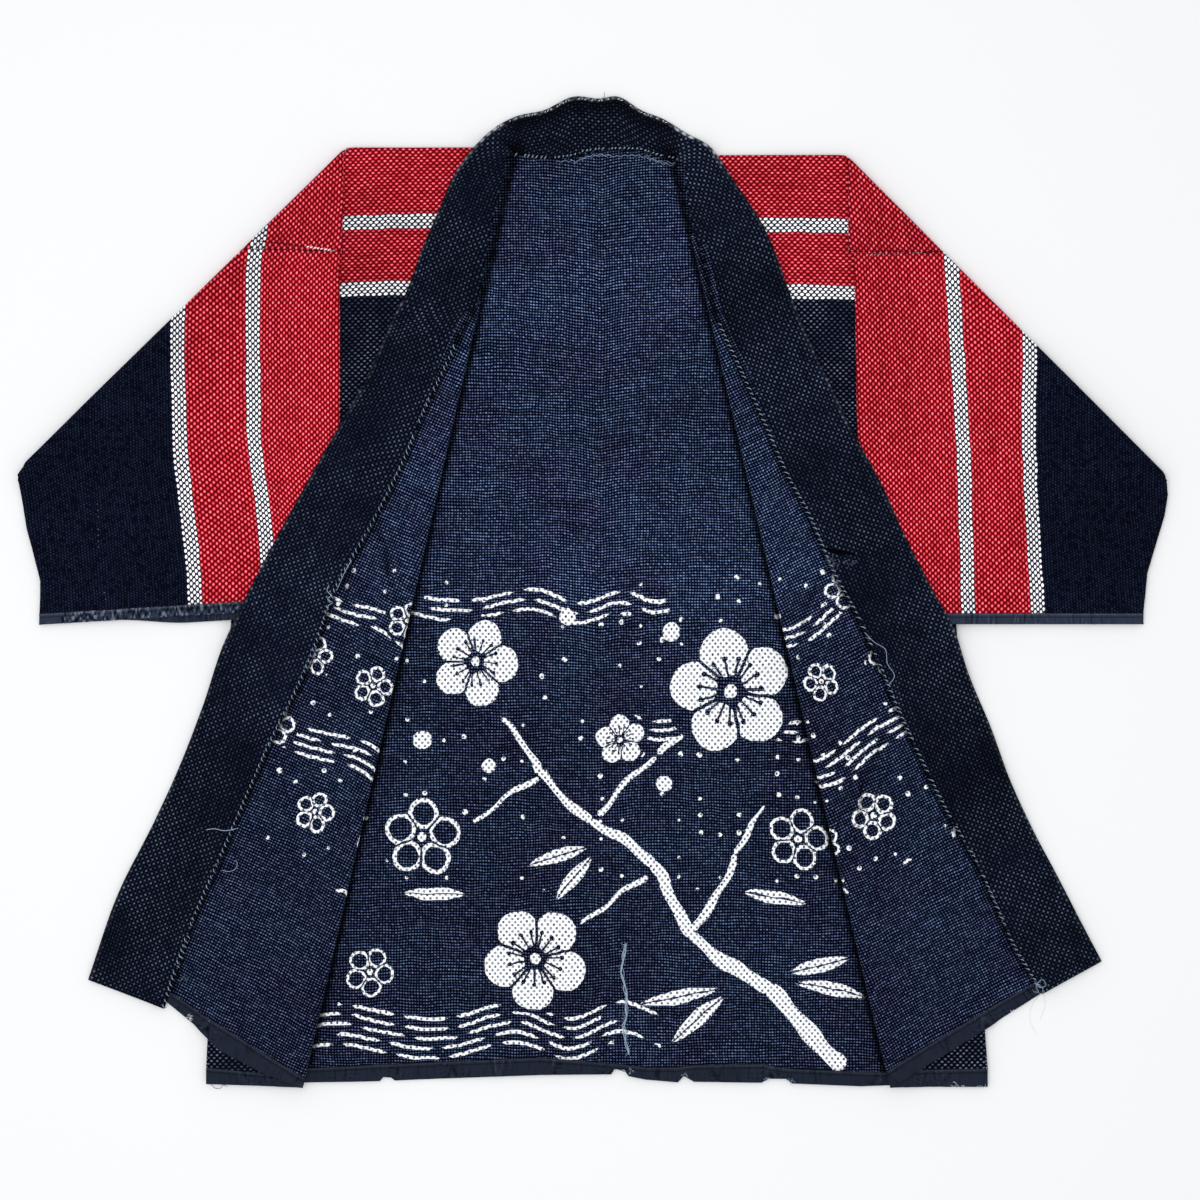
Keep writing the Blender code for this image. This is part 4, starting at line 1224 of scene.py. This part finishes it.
def makeFront(half):
    f = frontPiece
    neck = [(row[2] + f["underNeck"], row[3]) for row in collarRuns[half.name][:half.turnRow]]
    outline = [(half.armhole, half.shoulder), (neck[0][0], half.shoulder)] + neck
    start = moved(np.array([half.onFold(half.turnUp)]), half.foldWay, -half.foldReach - f["short"])[0]
    outline += [tuple(start)] + cutSeam(seamLine(half, f["underCollar"]), half.hem[-1][1])
    outline += [row[:2] for row in reversed(half.hem[:-1])] + [(half.armhole, half.underarm)]
    rows = turnRows(half) + creaseRows(half) + edgeRows(half.shoulder)
    points, faces, area = cutOut(outline, f["spacing"], rows)
    spot, height = half.placeFront(points)
    # how far from the collar's seam, for the painted shadow beside the collar's edge
    near = toEdge(points, [(0.0, f["above"])] + seamLine(half, 0.0).tolist() + [(0.0, f["below"])])[0]
    distance = half.foldDistance(points)
    near = np.where(distance > 0, near, stack["unshaded"])
    turned = distance > pi * half.roll
    # each crease gets a painted shade along its line, and is raised a little
    for line in f["creases"][half.name]:
        far = toLine(spot, line)
        near = np.where(turned, np.minimum(near, f["creaseLine"] + far), near)
        height = height + turned * f["creaseHigh"] * np.exp(-((far / f["creaseWide"] / 2) ** 2))
    dye = np.stack([half.bandOf(points), near], axis=1)
    if half.sign < 0:
        faces = faces[:, ::-1]
    rolling = np.hypot(*(points[faces].mean(axis=1) - start).T) < f["plainStart"]
    name, finishes, placed = "front" + half.name.title(), (outside, insideTurned), half.world(spot, height)
    piece = makeMesh(name, placed, faces, finishes, points * (half.sign, 1), dye, rolling.astype(np.int32))
    thicken(piece, thick, 1, 1)
    wear(piece, "front_" + half.name, f["flat"], area)


for half in halves.values():
    makeFront(half)
print("fronts made")

sleevePiece = {"spacing": 5.0, "stripe": 7.0, "flat": (330, 560)}


def makeSleeve(half):
    outline = list(zip(half.along, half.tops)) + list(zip(half.along[::-1], half.bottoms[::-1]))
    points, faces, area = cutOut(outline, sleevePiece["spacing"], creaseRows(half))
    along = points[:, 0] - half.armhole
    marks, one, two = np.array(half.sleeveStripes).T
    one, two = np.interp(along, marks, one), np.interp(along, marks, two)
    wide = sleevePiece["stripe"]
    below = half.shoulder - points[:, 1]
    gap = two - one - 2 * wide
    # the cloth between the stripes is drawn out or in, so that both lie on the loom's pattern
    drawn = np.clip(below - one - wide, 0.0, gap) * ((loom["apart"] - 2 * wide) / gap - 1)
    band = loom["first"] + (below - one) + drawn + wobble(points, loom["seed"]) * loom["sleeveWander"]
    dye = np.stack([band, np.full(len(points), stack["unshaded"])], axis=1)
    layers = []
    for isFront in (False, True):
        spot, height = half.place(points, half.depthOf(points, isFront, True))
        layers.append((half.world(spot, height), points * (half.sign, 1), dye))
    piece = makeDouble("sleeve", half, faces, layers, (outsideSleeve, inside))
    thicken(piece, thick, 1)
    wear(piece, "sleeve_" + half.name, sleevePiece["flat"], 2 * area)


for half in halves.values():
    makeSleeve(half)
print("sleeves made")

collarPiece = {
    "cloth": 1.5, "band": 3.3, "cutWide": 140.0, "step": 4.0, "edgeRound": 1.5, "pillow": 0.9,
    "rim": (0.0, 0.25, 0.8, 1.6),                     # sections close to either edge
    "across": (0.10, 0.20, 0.35, 0.50, 0.65, 0.80, 0.90),
    # where a run turns into the neck part it lies over it: how high, how steep and how long
    "cornerHigh": 3.4, "cornerSteep": 3.5, "cornerLong": 46.0, "cornerAcross": (0.3, 0.7),
    "seamHold": 6.0, "seamFall": 12.0,                # it lies on the front's edge beside its seam
    "pillowShape": 0.7, "cornerClear": 11.0,
    "cornerRuns": (-9.0, -6.0, -4.0, -2.8, -1.8, -1.0, -0.3, 0.6, 1.4, 2.4, 3.6, 5.2, 7.2, 9.5),
}


# How far along a line each of its corners is.
def runOf(line):
    return np.concatenate([[0.0], np.cumsum(np.hypot(*(line[1:] - line[:-1]).T))])


# A smooth curve through the rows, at the wanted places of their run.
def curveThrough(rows, run, wanted):
    slopes = np.gradient(rows, run, axis=0)
    index = np.clip(np.searchsorted(run, wanted, side="right") - 1, 0, len(run) - 2)
    length = (run[index + 1] - run[index])[:, None]
    t = (wanted - run[index])[:, None] / length
    h = (2 * t**3 - 3 * t**2 + 1, t**3 - 2 * t**2 + t, -2 * t**3 + 3 * t**2, t**3 - t**2)
    made = h[0] * rows[index] + h[1] * length * slopes[index]
    return made + h[2] * rows[index + 1] + h[3] * length * slopes[index + 1]


# The collar's sections, closer together at its two corners.
def throughPoints(rows, corners):
    c = collarPiece
    rows = np.array(rows, float)
    run = runOf((rows[:, :2] + rows[:, 2:]) / 2)
    wanted = np.linspace(0, run[-1], int(run[-1] / c["step"]))
    for corner in corners:
        wanted = wanted[np.abs(wanted - run[corner]) > c["cornerClear"]]
    extra = [run[corner] + offset for corner in corners for offset in c["cornerRuns"]]
    wanted = np.sort(np.concatenate([wanted, extra]))
    return curveThrough(rows, run, wanted), wanted, run


# How high the cloth under the collar reaches, at a place on the floor.
def lieUnder(x, y):
    spots = np.stack([np.abs(x), y], axis=1)
    return np.where(x < 0, halves["left"].fullCover(spots), halves["right"].fullCover(spots))


def makeCollar():
    c = collarPiece
    rows = [(-row[0], row[1], -row[2], row[3]) for row in reversed(collarRuns["left"])]
    corners = [len(rows)]
    rows += list(collarNeck)
    corners.append(len(rows) - 1)
    rows += list(collarRuns["right"])
    sections, run, knots = throughPoints(rows, corners)
    edge, seam = sections[:, :2], sections[:, 2:]
    width = np.hypot(*(edge - seam).T)
    pastCorner = np.maximum(knots[corners[0]] - run, run - knots[corners[1]])
    fall = 1 - smooth((pastCorner - c["cornerSteep"]) / c["cornerLong"])
    corner = smooth(pastCorner / c["cornerSteep"]) * fall
    inwards = [np.full(len(run), near) for near in c["rim"]]
    inwards += [width * share for share in c["across"]]
    inwards += [width - near for near in reversed(c["rim"])]
    bend = (c["band"] - c["cloth"]) / 2
    points, uv, dye = [], [], []
    for isTop in (False, True):
        for inward in (inwards[1:-1] if isTop else inwards[::-1]):
            share = inward / width
            spot = edge + (seam - edge) * share[:, None]
            x, y = spot[:, 0], spot[:, 1]
            under = lieUnder(x, y)
            under += thick * (1 - smooth((width - inward - c["seamHold"]) / c["seamFall"]))
            fromEdge = np.minimum(inward, width - inward)
            bulge = np.sqrt(np.clip(1 - (1 - np.clip(fromEdge / c["edgeRound"], 0, 1)) ** 2, 0, 1))
            lie = 0.5 * c["band"] + bend * (bulge if isTop else -bulge)
            if isTop:
                lie = lie + c["pillow"] * np.sin(pi * np.clip(share, 0, 1)) ** c["pillowShape"]
            lie = lie + corner * c["cornerHigh"] * ranged(share, *c["cornerAcross"])
            points.append(np.stack([x, y, under + lie + swell(x, y)], axis=1))
            uv.append(np.stack([run, inward], axis=1))
            dye.append(np.stack([inward, pastCorner], axis=1))
    ring = len(points)
    points, uv, dye = [np.stack(part, axis=1).reshape(-1, part[0].shape[1]) for part in (points, uv, dye)]
    faces = []
    for station in range(len(run) - 1):
        for step in range(ring):
            a = station * ring + step
            b = station * ring + (step + 1) % ring
            faces.append((a, a + ring, b + ring, b))
    piece = makeMesh("collarBand", points, faces, (collarFinish,), uv, dye)
    thicken(piece, c["cloth"])
    area = float((width[1:] * np.diff(run)).sum()) * 2
    flat = (float(run[-1]), c["cutWide"])
    wear(piece, "collar", flat, area)
    toLeft, toRight = run < knots[corners[0]], run > knots[corners[1]]
    lines = {"left": toLeft, "right": toRight, "neck": ~toLeft & ~toRight}
    return {name: (seam[chosen], edge[chosen]) for name, chosen in lines.items()}


collarLines = makeCollar()
print("collar made")

bindingPiece = {
    "spacing": 1.9, "cuffSpacing": 1.5, "thick": 0.8, "inset": 1.0,
    "cuffFlat": (10, 560), "hemFlat": (680, 16), "frontWide": 30,
    # the hem's pleats: their lean, depth and height, and how high its strips lie
    "lean": 0.25, "deep": 0.6, "pucker": 0.45, "backHigh": 0.5, "frontHigh": 0.2,
    # the under layer of the left cuff hangs out below the upper one, between these places
    "slip": 6.0, "slipFrom": 418.0, "slipOver": 66.0,
    # depth and lean of a cuff's gathers, its own and then the layer in its shade; and how much darker that
    # layer is painted, as painted shade
    "gathers": {"left": (1.9, -0.7), "right": (0.6, -0.25)}, "under": (0.3, 0.1), "shade": 0.30,
    "calm": 0.30, "often": 1.02, "cuffPucker": 0.9, "puckerShares": (0.5, 0.3),
    "flatEnd": 14.0, "flatOver": 10.0,  # the end at the underarm seam is flat
}
pleatShape = {
    "lean": 0.4, "leanOver": 11.0, "whole": 1.75, "calmOver": 23.0, "calmStart": 1.0,
    # share and pace of each wave, and how far it bends and over what length
    "waves": ((1.0, 1.0, 1.5, 9.1), (0.75, 0.46, 2.1, 17.0)),
}


# Uneven small pleats across a binding, from -1 to 1, slanting a little.
def pleats(along, across, slant, calm=0.45, often=1.35):
    p = pleatShape
    run = along + across * slant * (1 + p["lean"] * np.sin(along / p["leanOver"]))
    wave = np.zeros(len(run))
    for share, pace, bend, over in p["waves"]:
        wave = wave + share * np.sin(run * often * pace + bend * np.sin(run / over))
    return wave / p["whole"] * (1 - calm + calm * np.sin(run / p["calmOver"] + p["calmStart"]))


# The height of a hem's pleats at each point, and its dye.
def hemPleats(points, rows):
    wave = pleats(points[:, 0], points[:, 1], bindingPiece["lean"]) * bindingPiece["deep"]
    rows = np.array(rows)
    return wave, np.stack([wave, np.interp(points[:, 0], rows[:, 0], rows[:, 1]) - points[:, 1]], axis=1)


def wearBinding(piece, node, flat, area):
    thicken(piece, thick * bindingPiece["thick"])
    wear(piece, node, flat, min(area, flat[0] * flat[1]))


def makeBackBinding():
    b = bindingPiece
    outline = [row[:2] for row in backHem] + [(row[0], row[2]) for row in reversed(backHem)]
    points, faces, area = cutOut(outline, b["spacing"])
    wave, dye = hemPleats(points, backHem)
    high = thick / 2 + swell(points[:, 0], points[:, 1]) + b["backHigh"] + wave * b["pucker"]
    piece = makeMesh("hemBindingBack", np.column_stack([points, high]), faces, (hemFinish,), points, dye)
    wearBinding(piece, "hem_binding_back", b["hemFlat"], area)


def makeFrontBinding(half):
    b = bindingPiece
    last = half.hem[-1]
    line = seamLine(half, b["inset"])
    outline = [row[:2] for row in half.hem[:-1]] + [cutSeam(line, last[1])[-1], cutSeam(line, last[2])[-1]]
    outline += [(row[0], row[2]) for row in reversed(half.hem[:-1])]
    points, faces, area = cutOut(outline, b["spacing"], turnRows(half))
    spot, height = half.placeFront(points)
    wave, dye = hemPleats(points, half.hem[::-1])
    placed = half.world(spot, height + wave * b["pucker"] + b["frontHigh"])
    if half.sign < 0:
        faces = faces[:, ::-1]
    name = "hemBinding" + half.name.title()
    piece = makeMesh(name, placed, faces, (hemFinish,), points * (half.sign, 1), dye)
    flat = (float(np.ptp(points[:, 0])), b["frontWide"])
    wearBinding(piece, "hem_binding_" + half.name, flat, area)


def makeCuffBinding(half):
    b = bindingPiece
    top, bottom = half.tops[-1], half.bottoms[-1]
    near, far = half.cuff, half.cuff + cuffBinding
    outline = [(near, top), (far, top), (far, bottom), (near, bottom)]
    points, faces, area = cutOut(outline, b["cuffSpacing"], edgeRows(top) + edgeRows(bottom, -1))
    layers = []
    for isFront in (False, True):
        spot, height = half.place(points, half.depthOf(points, isFront, True))
        deep, lean = b["under"] if isFront else b["gathers"][half.name]
        wave = pleats(points[:, 1], points[:, 0], lean, b["calm"], b["often"]) * deep
        wave = wave * smooth((points[:, 1] - bottom - b["flatEnd"]) / b["flatOver"])
        height = height + wave * b["cuffPucker"] * b["puckerShares"][isFront]
        # the under layer's pleats are set lower, so it is painted darker: a painted shade under the upper
        # layer
        dye = np.stack([wave - b["shade"] * isFront, points[:, 0] - near], axis=1)
        if half.sign < 0 and isFront:
            spot[:, 1] -= b["slip"] * smooth((b["slipFrom"] - spot[:, 0]) / b["slipOver"])
        layers.append((half.world(spot, height), points[:, ::-1], dye))
    piece = makeDouble("cuffBinding", half, faces, layers, (cuffFinish,))
    wearBinding(piece, "cuff_binding_" + half.name, b["cuffFlat"], 2 * area)


makeBackBinding()
for half in halves.values():
    makeFrontBinding(half)
    makeCuffBinding(half)
print("bindings made")

# All the cloth as it lies, for the threads to lie on.
def surfaceTree():
    graph = bpy.context.evaluated_depsgraph_get()
    points, faces = [], []
    for piece in shown:
        data = piece.evaluated_get(graph).to_mesh()
        first = len(points)
        points += [piece.matrix_world @ vertex.co for vertex in data.vertices]
        faces += [[first + index for index in polygon.vertices] for polygon in data.polygons]
    return BVHTree.FromPolygons(points, faces)


bpy.context.view_layer.update()
surface = surfaceTree()
luck = random.Random(31)


threadShape = {
    "sides": 5, "ends": 0.45, "radius": 0.16, "step": 1.5,
    "above": 0.2, "clear": 0.2,        # rays start above the cloth, in metres; threads lie clear of it
    "stray": 0.12, "size": (0.8, 1.15), "parts": (0.0, 0.33, 0.67, 1.0), "arch": (0.0, 0.8, 0.8, 0.0),
    "rowClear": 0.3, "rowRadius": (0.85, 1.15),
    "turn": 1.2, "reach": (0.5, 1.2), "frayParts": 3, "frayRadius": (0.8, 1.2),
}


# Height of whatever lies on top at each place, smoothed along the path.
def heightsOf(path, clear):
    high = []
    for x, y in path:
        hit = surface.ray_cast(Vector((x * mm, y * mm, threadShape["above"])), Vector((0.0, 0.0, -1.0)))[0]
        high.append((hit.z * perMetre if hit else 0.0) + clear)
    high = np.array(high)
    if len(high) > 3:
        high[1:-1] = np.maximum(high[1:-1], (high[:-2] + high[2:]) / 2)
    return high


def smoothPath(corners, step):
    corners = np.array(corners, float)
    run = runOf(corners)
    return curveThrough(corners, run, np.linspace(0, run[-1], max(3, int(run[-1] / step) + 1)))


class Threads:
    def __init__(self, kind, name, slot):
        self.finish, self.name, self.slot = threadFinishes[kind], name, slot
        self.points, self.faces = [], []

    # A round thread through points in space, thinner at its ends.
    def tube(self, path, radius):
        path = np.asarray(path, float)
        sides = threadShape["sides"]
        way = np.gradient(path, axis=0)
        way /= np.maximum(np.linalg.norm(way, axis=1), 1e-6)[:, None]
        side = np.cross(way, (0.0, 0.0, 1.0))
        side /= np.maximum(np.linalg.norm(side, axis=1), 1e-6)[:, None]
        up = np.cross(side, way)
        taper = np.ones(len(path))
        taper[[0, -1]] = threadShape["ends"]
        first = len(self.points)
        for step in range(len(path)):
            for turn in range(sides):
                angle = 2 * pi * turn / sides
                ring = side[step] * cos(angle) + up[step] * sin(angle)
                self.points.append(path[step] + ring * radius * taper[step])
        for step in range(len(path) - 1):
            for turn in range(sides):
                a, b = first + step * sides + turn, first + step * sides + (turn + 1) % sides
                self.faces.append((a, b, b + sides, a + sides))
        last = first + (len(path) - 1) * sides
        self.faces.append(tuple(range(first, first + sides))[::-1])
        self.faces.append(tuple(range(last, last + sides)))

    # A thread over places on the floor, on whatever lies there.
    def over(self, flat, radius, clear):
        self.tube(np.column_stack([flat, heightsOf(flat, clear)]), radius)

    def lay(self, corners, radius, step=threadShape["step"], clear=threadShape["clear"]):
        self.over(smoothPath(corners, step), radius, clear + radius * 0.5)

    # Short stitches across a line: spacing, how far across, slant along the line, share that show.
    def row(self, line, spacing, across, slant, radius, share, offset=0.0, arch=0.35, bend=0.0):
        t = threadShape
        line = np.asarray(line, float)
        run = runOf(line)
        at = spacing / 2
        while at < run[-1] - spacing:
            gone = luck.random() > share
            here = at + luck.uniform(-t["stray"], t["stray"]) * spacing
            at += spacing
            if gone:
                continue
            size = luck.uniform(*t["size"])
            spots = []
            for part in t["parts"]:
                place = here + slant * size * (part - 0.5)
                ends = (place, place + 1.0)
                a, b = np.array([[np.interp(end, run, axis) for axis in line.T] for end in ends])
                way = (b - a) / max(hypot(*(b - a)), 1e-6)
                aside = offset + (part - 0.5) * across * size + bend * sin(pi * part)
                spots.append(a + np.array([-way[1], way[0]]) * aside)
            spots = np.array(spots)
            high = heightsOf(spots, radius * t["rowClear"]) + arch * np.array(t["arch"])
            self.tube(np.column_stack([spots, high]), radius * luck.uniform(*t["rowRadius"]))

    # A tuft of short loose ends about a place.
    def fray(self, x, y, wide, high, count, long, radius=threadShape["radius"]):
        t = threadShape
        for _ in range(count):
            start = np.array([x + luck.uniform(-wide, wide), y + luck.uniform(-high, high)])
            angle = luck.uniform(0, 2 * pi)
            turn = luck.uniform(-t["turn"], t["turn"])
            reach = long * luck.uniform(*t["reach"])
            corners = [start]
            for part in range(t["frayParts"]):
                corners.append(corners[-1] + np.array([cos(angle), sin(angle)]) * reach / t["frayParts"])
                angle += turn
            self.lay(corners, radius * luck.uniform(*t["frayRadius"]), 1.0)

    def finishUp(self):
        piece = makeMesh(self.name, np.array(self.points), self.faces, (self.finish,))
        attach(piece, "root")
        print(self.name, len(self.faces), "faces")


sewing = {
    # rows of stitches: spacing, how far across, slant, thread's radius, share that show
    "seam": (5.0, 2.9, 3.4, 0.34, 0.94), "seamBend": 0.9, "faintSeam": (5.0, 1.6, 1.6, 0.30, 0.6),
    "rim": (2.9, 0.9, 1.3, 0.32, 0.55), "rimIn": 0.035,
    "neck": (3.6, 1.3, 1.4, 0.46, 0.94, 1.0, 0.5), "neckLeft": (3.6, 2.2, 1.8, 0.40, 0.8),
    "armholeLeft": (3.1, 1.4, 2.4, 0.75, 0.95), "armholeRight": (3.4, 0.9, 1.8, 0.26, 0.6),
    "selvedgeRow": (3.1, 0.8, 1.0, 0.36, 0.85), "second": (4.6, 2.6, 2.2, 0.36, 0.95), "secondBend": 0.6,
    "dots": (5.4, 0.8, 1.1, 0.40, 0.9), "pathStep": 3.0,
    "armholeSeam": (0.42, 3.0, 0.0),   # radius, step, how clear of the cloth
    # waving threads: step, how far and how often, how clear of the cloth, radius
    "neckWave": (1.1, 0.7, 1.1, 0.2, 0.17),
    "tornWave": (1.6, 0.9, (0.35, 0.8), 0.3, (0.22, 0.42)), "tornThreads": 4, "tornStray": 0.7,
    "tornFray": (1.6, 1.6, 2, 3.6, 0.15),
    # seam stitches show from this height down, and are few for some way above it
    "from": {"left": 219.0, "right": 236.0}, "faint": {"left": 250.0, "right": 300.0},
    "neckRow": ((-36.5, 375.8), (-18.3, 378.3), (-11.3, 381.6), (4.4, 384.0), (22.6, 384.2), (38.3, 384.0),
                (47.3, 381.2), (58.6, 377.0), (72.2, 374.6)),
    "neckRowLeft": ((-70.0, 379.2), (-55.0, 378.0), (-38.0, 376.4)),
    "neckThreads": (((-13.9, 376.4), (4.4, 379.4), (17.9, 378.6), (35.7, 379.4), (47.3, 376.6),
        (58.6, 372.4), (69.0, 370.6)),
                    ((-34.0, 373.4), (-22.0, 374.6), (-16.0, 374.0), (-8.0, 378.0), (4.0, 380.0),
                        (14.0, 379.6)),
                    ((44.0, 379.6), (52.0, 375.6), (60.0, 373.6), (70.0, 372.8))),
    "armholeStitches": ((-250.5, 299.2), (-236.0, 297.2), (-221.5, 294.6)),
    "armholes": {"left": ((-294.1, 304.5), (-256.0, 299.8), (-223.6, 294.9)), "right": ((234.0, 291.5),
        (268.0, 293.6), (301.9, 294.9))},
    # loose ends: finish, radius, path
    "loose": (
        ("pale", 0.30, ((-210.3, 27.8), (-216.7, 16.4), (-223.9, 0.8))),
        ("pale", 0.30, ((-229.7, 6.4), (-231.6, 1.0), (-228.2, -3.0), (-231.2, -6.2), (-227.0, -9.2),
            (-230.6, -12.0), (-231.0, -15.6))),
        ("pale", 0.34, ((-337.6, -206.2), (-329.0, -205.2), (-321.9, -206.6), (-309.0, -204.9))),
        ("pale", 0.24, ((-323.9, -241.0), (-317.4, -242.4), (-312.4, -240.6), (-310.1, -236.4),
            (-311.4, -232.2))),
        ("pale", 0.26, ((233.2, -34.8), (242.0, -43.5), (251.4, -49.6), (253.2, -61.8), (259.3, -73.1),
            (253.2, -81.8))),
        ("white", 0.13, ((388.9, -348.0), (380.2, -360.2), (378.5, -372.4), (384.5, -385.4))),
        ("white", 0.12, ((389.8, -348.0), (391.5, -358.4), (387.2, -372.4))),
        ("pale", 0.24, ((381.0, -338.0), (386.0, -343.0), (391.0, -341.0), (388.0, -336.0),
            (383.0, -341.0), (386.0, -349.0))),
        ("blue", 0.17, ((8.2, 428.6), (7.6, 431.0), (8.6, 433.0), (7.8, 435.2))),
        ("blue", 0.20, ((-334.0, -427.0), (-331.0, -431.4), (-326.0, -431.8), (-323.0, -428.8),
            (-320.0, -430.6))),
        ("dark", 0.30, ((-8.5, -404.8), (8.0, -409.0), (26.0, -417.4))),
    ),
    "torn": ((27.0, -305.4), (23.5, -327.1), (25.7, -342.8), (27.8, -355.4), (27.0, -366.8),
        (25.2, -379.3), (27.0, -389.8), (28.7, -401.9)),
    # frayed places: finish, out, up, half width, half height, ends, their length
    "frays": (
        ("white", -352.3, -369.6, 4.0, 1.6, 16, 3.4), ("pale", 30.4, -415.9, 2.2, 1.4, 9, 3.2),
            ("pale", 77.5, -420.2, 1.8, 1.6, 8, 3.2),
        ("pale", 148.6, -424.0, 3.4, 1.0, 9, 3.4), ("pale", 170.8, -424.4, 1.6, 1.4, 7, 3.4),
            ("white", 363.2, -364.2, 1.0, 0.7, 14, 1.8),
        ("white", 315.4, -428.4, 7.0, 0.6, 9, 4.6), ("white", 336.2, -429.4, 3.4, 0.8, 8, 4.0),
            ("pale", 386.0, -343.5, 4.0, 3.4, 11, 5.5),
        ("blue", 213.0, 24.4, 10.5, 0.7, 16, 6.0), ("blue", 204.0, 28.4, 4.0, 1.2, 9, 4.0),
            ("blue", -357.0, -336.0, 3.0, 2.4, 8, 4.0),
    ),
    "selvedge": (((339.0, -384.0), (339.6, -404.0), (340.0, -419.0)), ((-336.8, -392.0), (-336.8, -416.0))),
    "secondSeam": ((-352.4, -297.5), (-358.0, -314.0), (-364.0, -331.0)),
    "sleeveDots": (((-432.4, 84.4), (-431.0, 56.0), (-431.5, 27.8)), ((-426.4, 2.0), (-422.4, -15.7))),
}


def sew():
    s = sewing
    threads = {
        "pale": Threads("pale", "seamThreads", "collar_cloth"),
        "white": Threads("white", "whiteThreads", "collar_cloth"),
        "pink": Threads("pink", "armholeThreads", "sleeve_cloth"),
        "red": Threads("red", "armholeSeams", "sleeve_cloth"),
        "blue": Threads("blue", "blueThreads", "binding_cloth"),
        "dark": Threads("dark", "darkThreads", "binding_cloth"),
    }
    pale, white, pink, red, blue, _ = threads.values()
    for name in halfSizes:
        seam = collarLines[name][0]
        up = seam[:, 1]
        pale.row(seam[up < s["from"][name]], *s["seam"], bend=s["seamBend"])
        blue.row(seam[(up >= s["from"][name]) & (up < s["faint"][name])], *s["faintSeam"])
        red.lay(s["armholes"][name], *s["armholeSeam"])
    seam, edge = collarLines["neck"]
    white.row(edge + (seam - edge) * s["rimIn"], *s["rim"])
    pale.row(s["neckRow"], *s["neck"])
    pale.row(s["neckRowLeft"], *s["neckLeft"])
    step, far, often, clear, radius = s["neckWave"]
    for line in s["neckThreads"]:
        flat = smoothPath(line, step)
        flat[:, 1] += far * np.sin(np.arange(len(flat)) * often)
        pale.over(flat, radius, clear)
    pink.row(smoothPath(s["armholeStitches"], s["pathStep"]), *s["armholeLeft"])
    pink.row(smoothPath(s["armholes"]["right"], s["pathStep"]), *s["armholeRight"])
    for line in s["selvedge"]:
        pale.row(line, *s["selvedgeRow"])
    pale.row(s["secondSeam"], *s["second"], bend=s["secondBend"])
    for kind, radius, line in s["loose"]:
        threads[kind].lay(line, radius)
    step, far, often, clear, radius = s["tornWave"]
    for _ in range(s["tornThreads"]):
        flat = smoothPath(s["torn"], step)
        phase = luck.uniform(0, 6)
        wave = far * np.sin(np.arange(len(flat)) * luck.uniform(*often) + phase)
        flat[:, 0] += wave + luck.uniform(-s["tornStray"], s["tornStray"])
        heights = heightsOf(flat, clear)
        pale.tube(np.column_stack([flat, heights]), luck.uniform(*radius))
    for x, y in smoothPath(s["torn"], s["pathStep"]):
        pale.fray(x, y, *s["tornFray"])
    for kind, x, y, wide, high, count, long in s["frays"]:
        threads[kind].fray(x, y, wide, high, count, long)
    for line in s["sleeveDots"]:
        blue.row(smoothPath(line, s["pathStep"]), *s["dots"])
    for thread in threads.values():
        thread.finishUp()


sew()
print("sewing made")

bpy.context.view_layer.update()
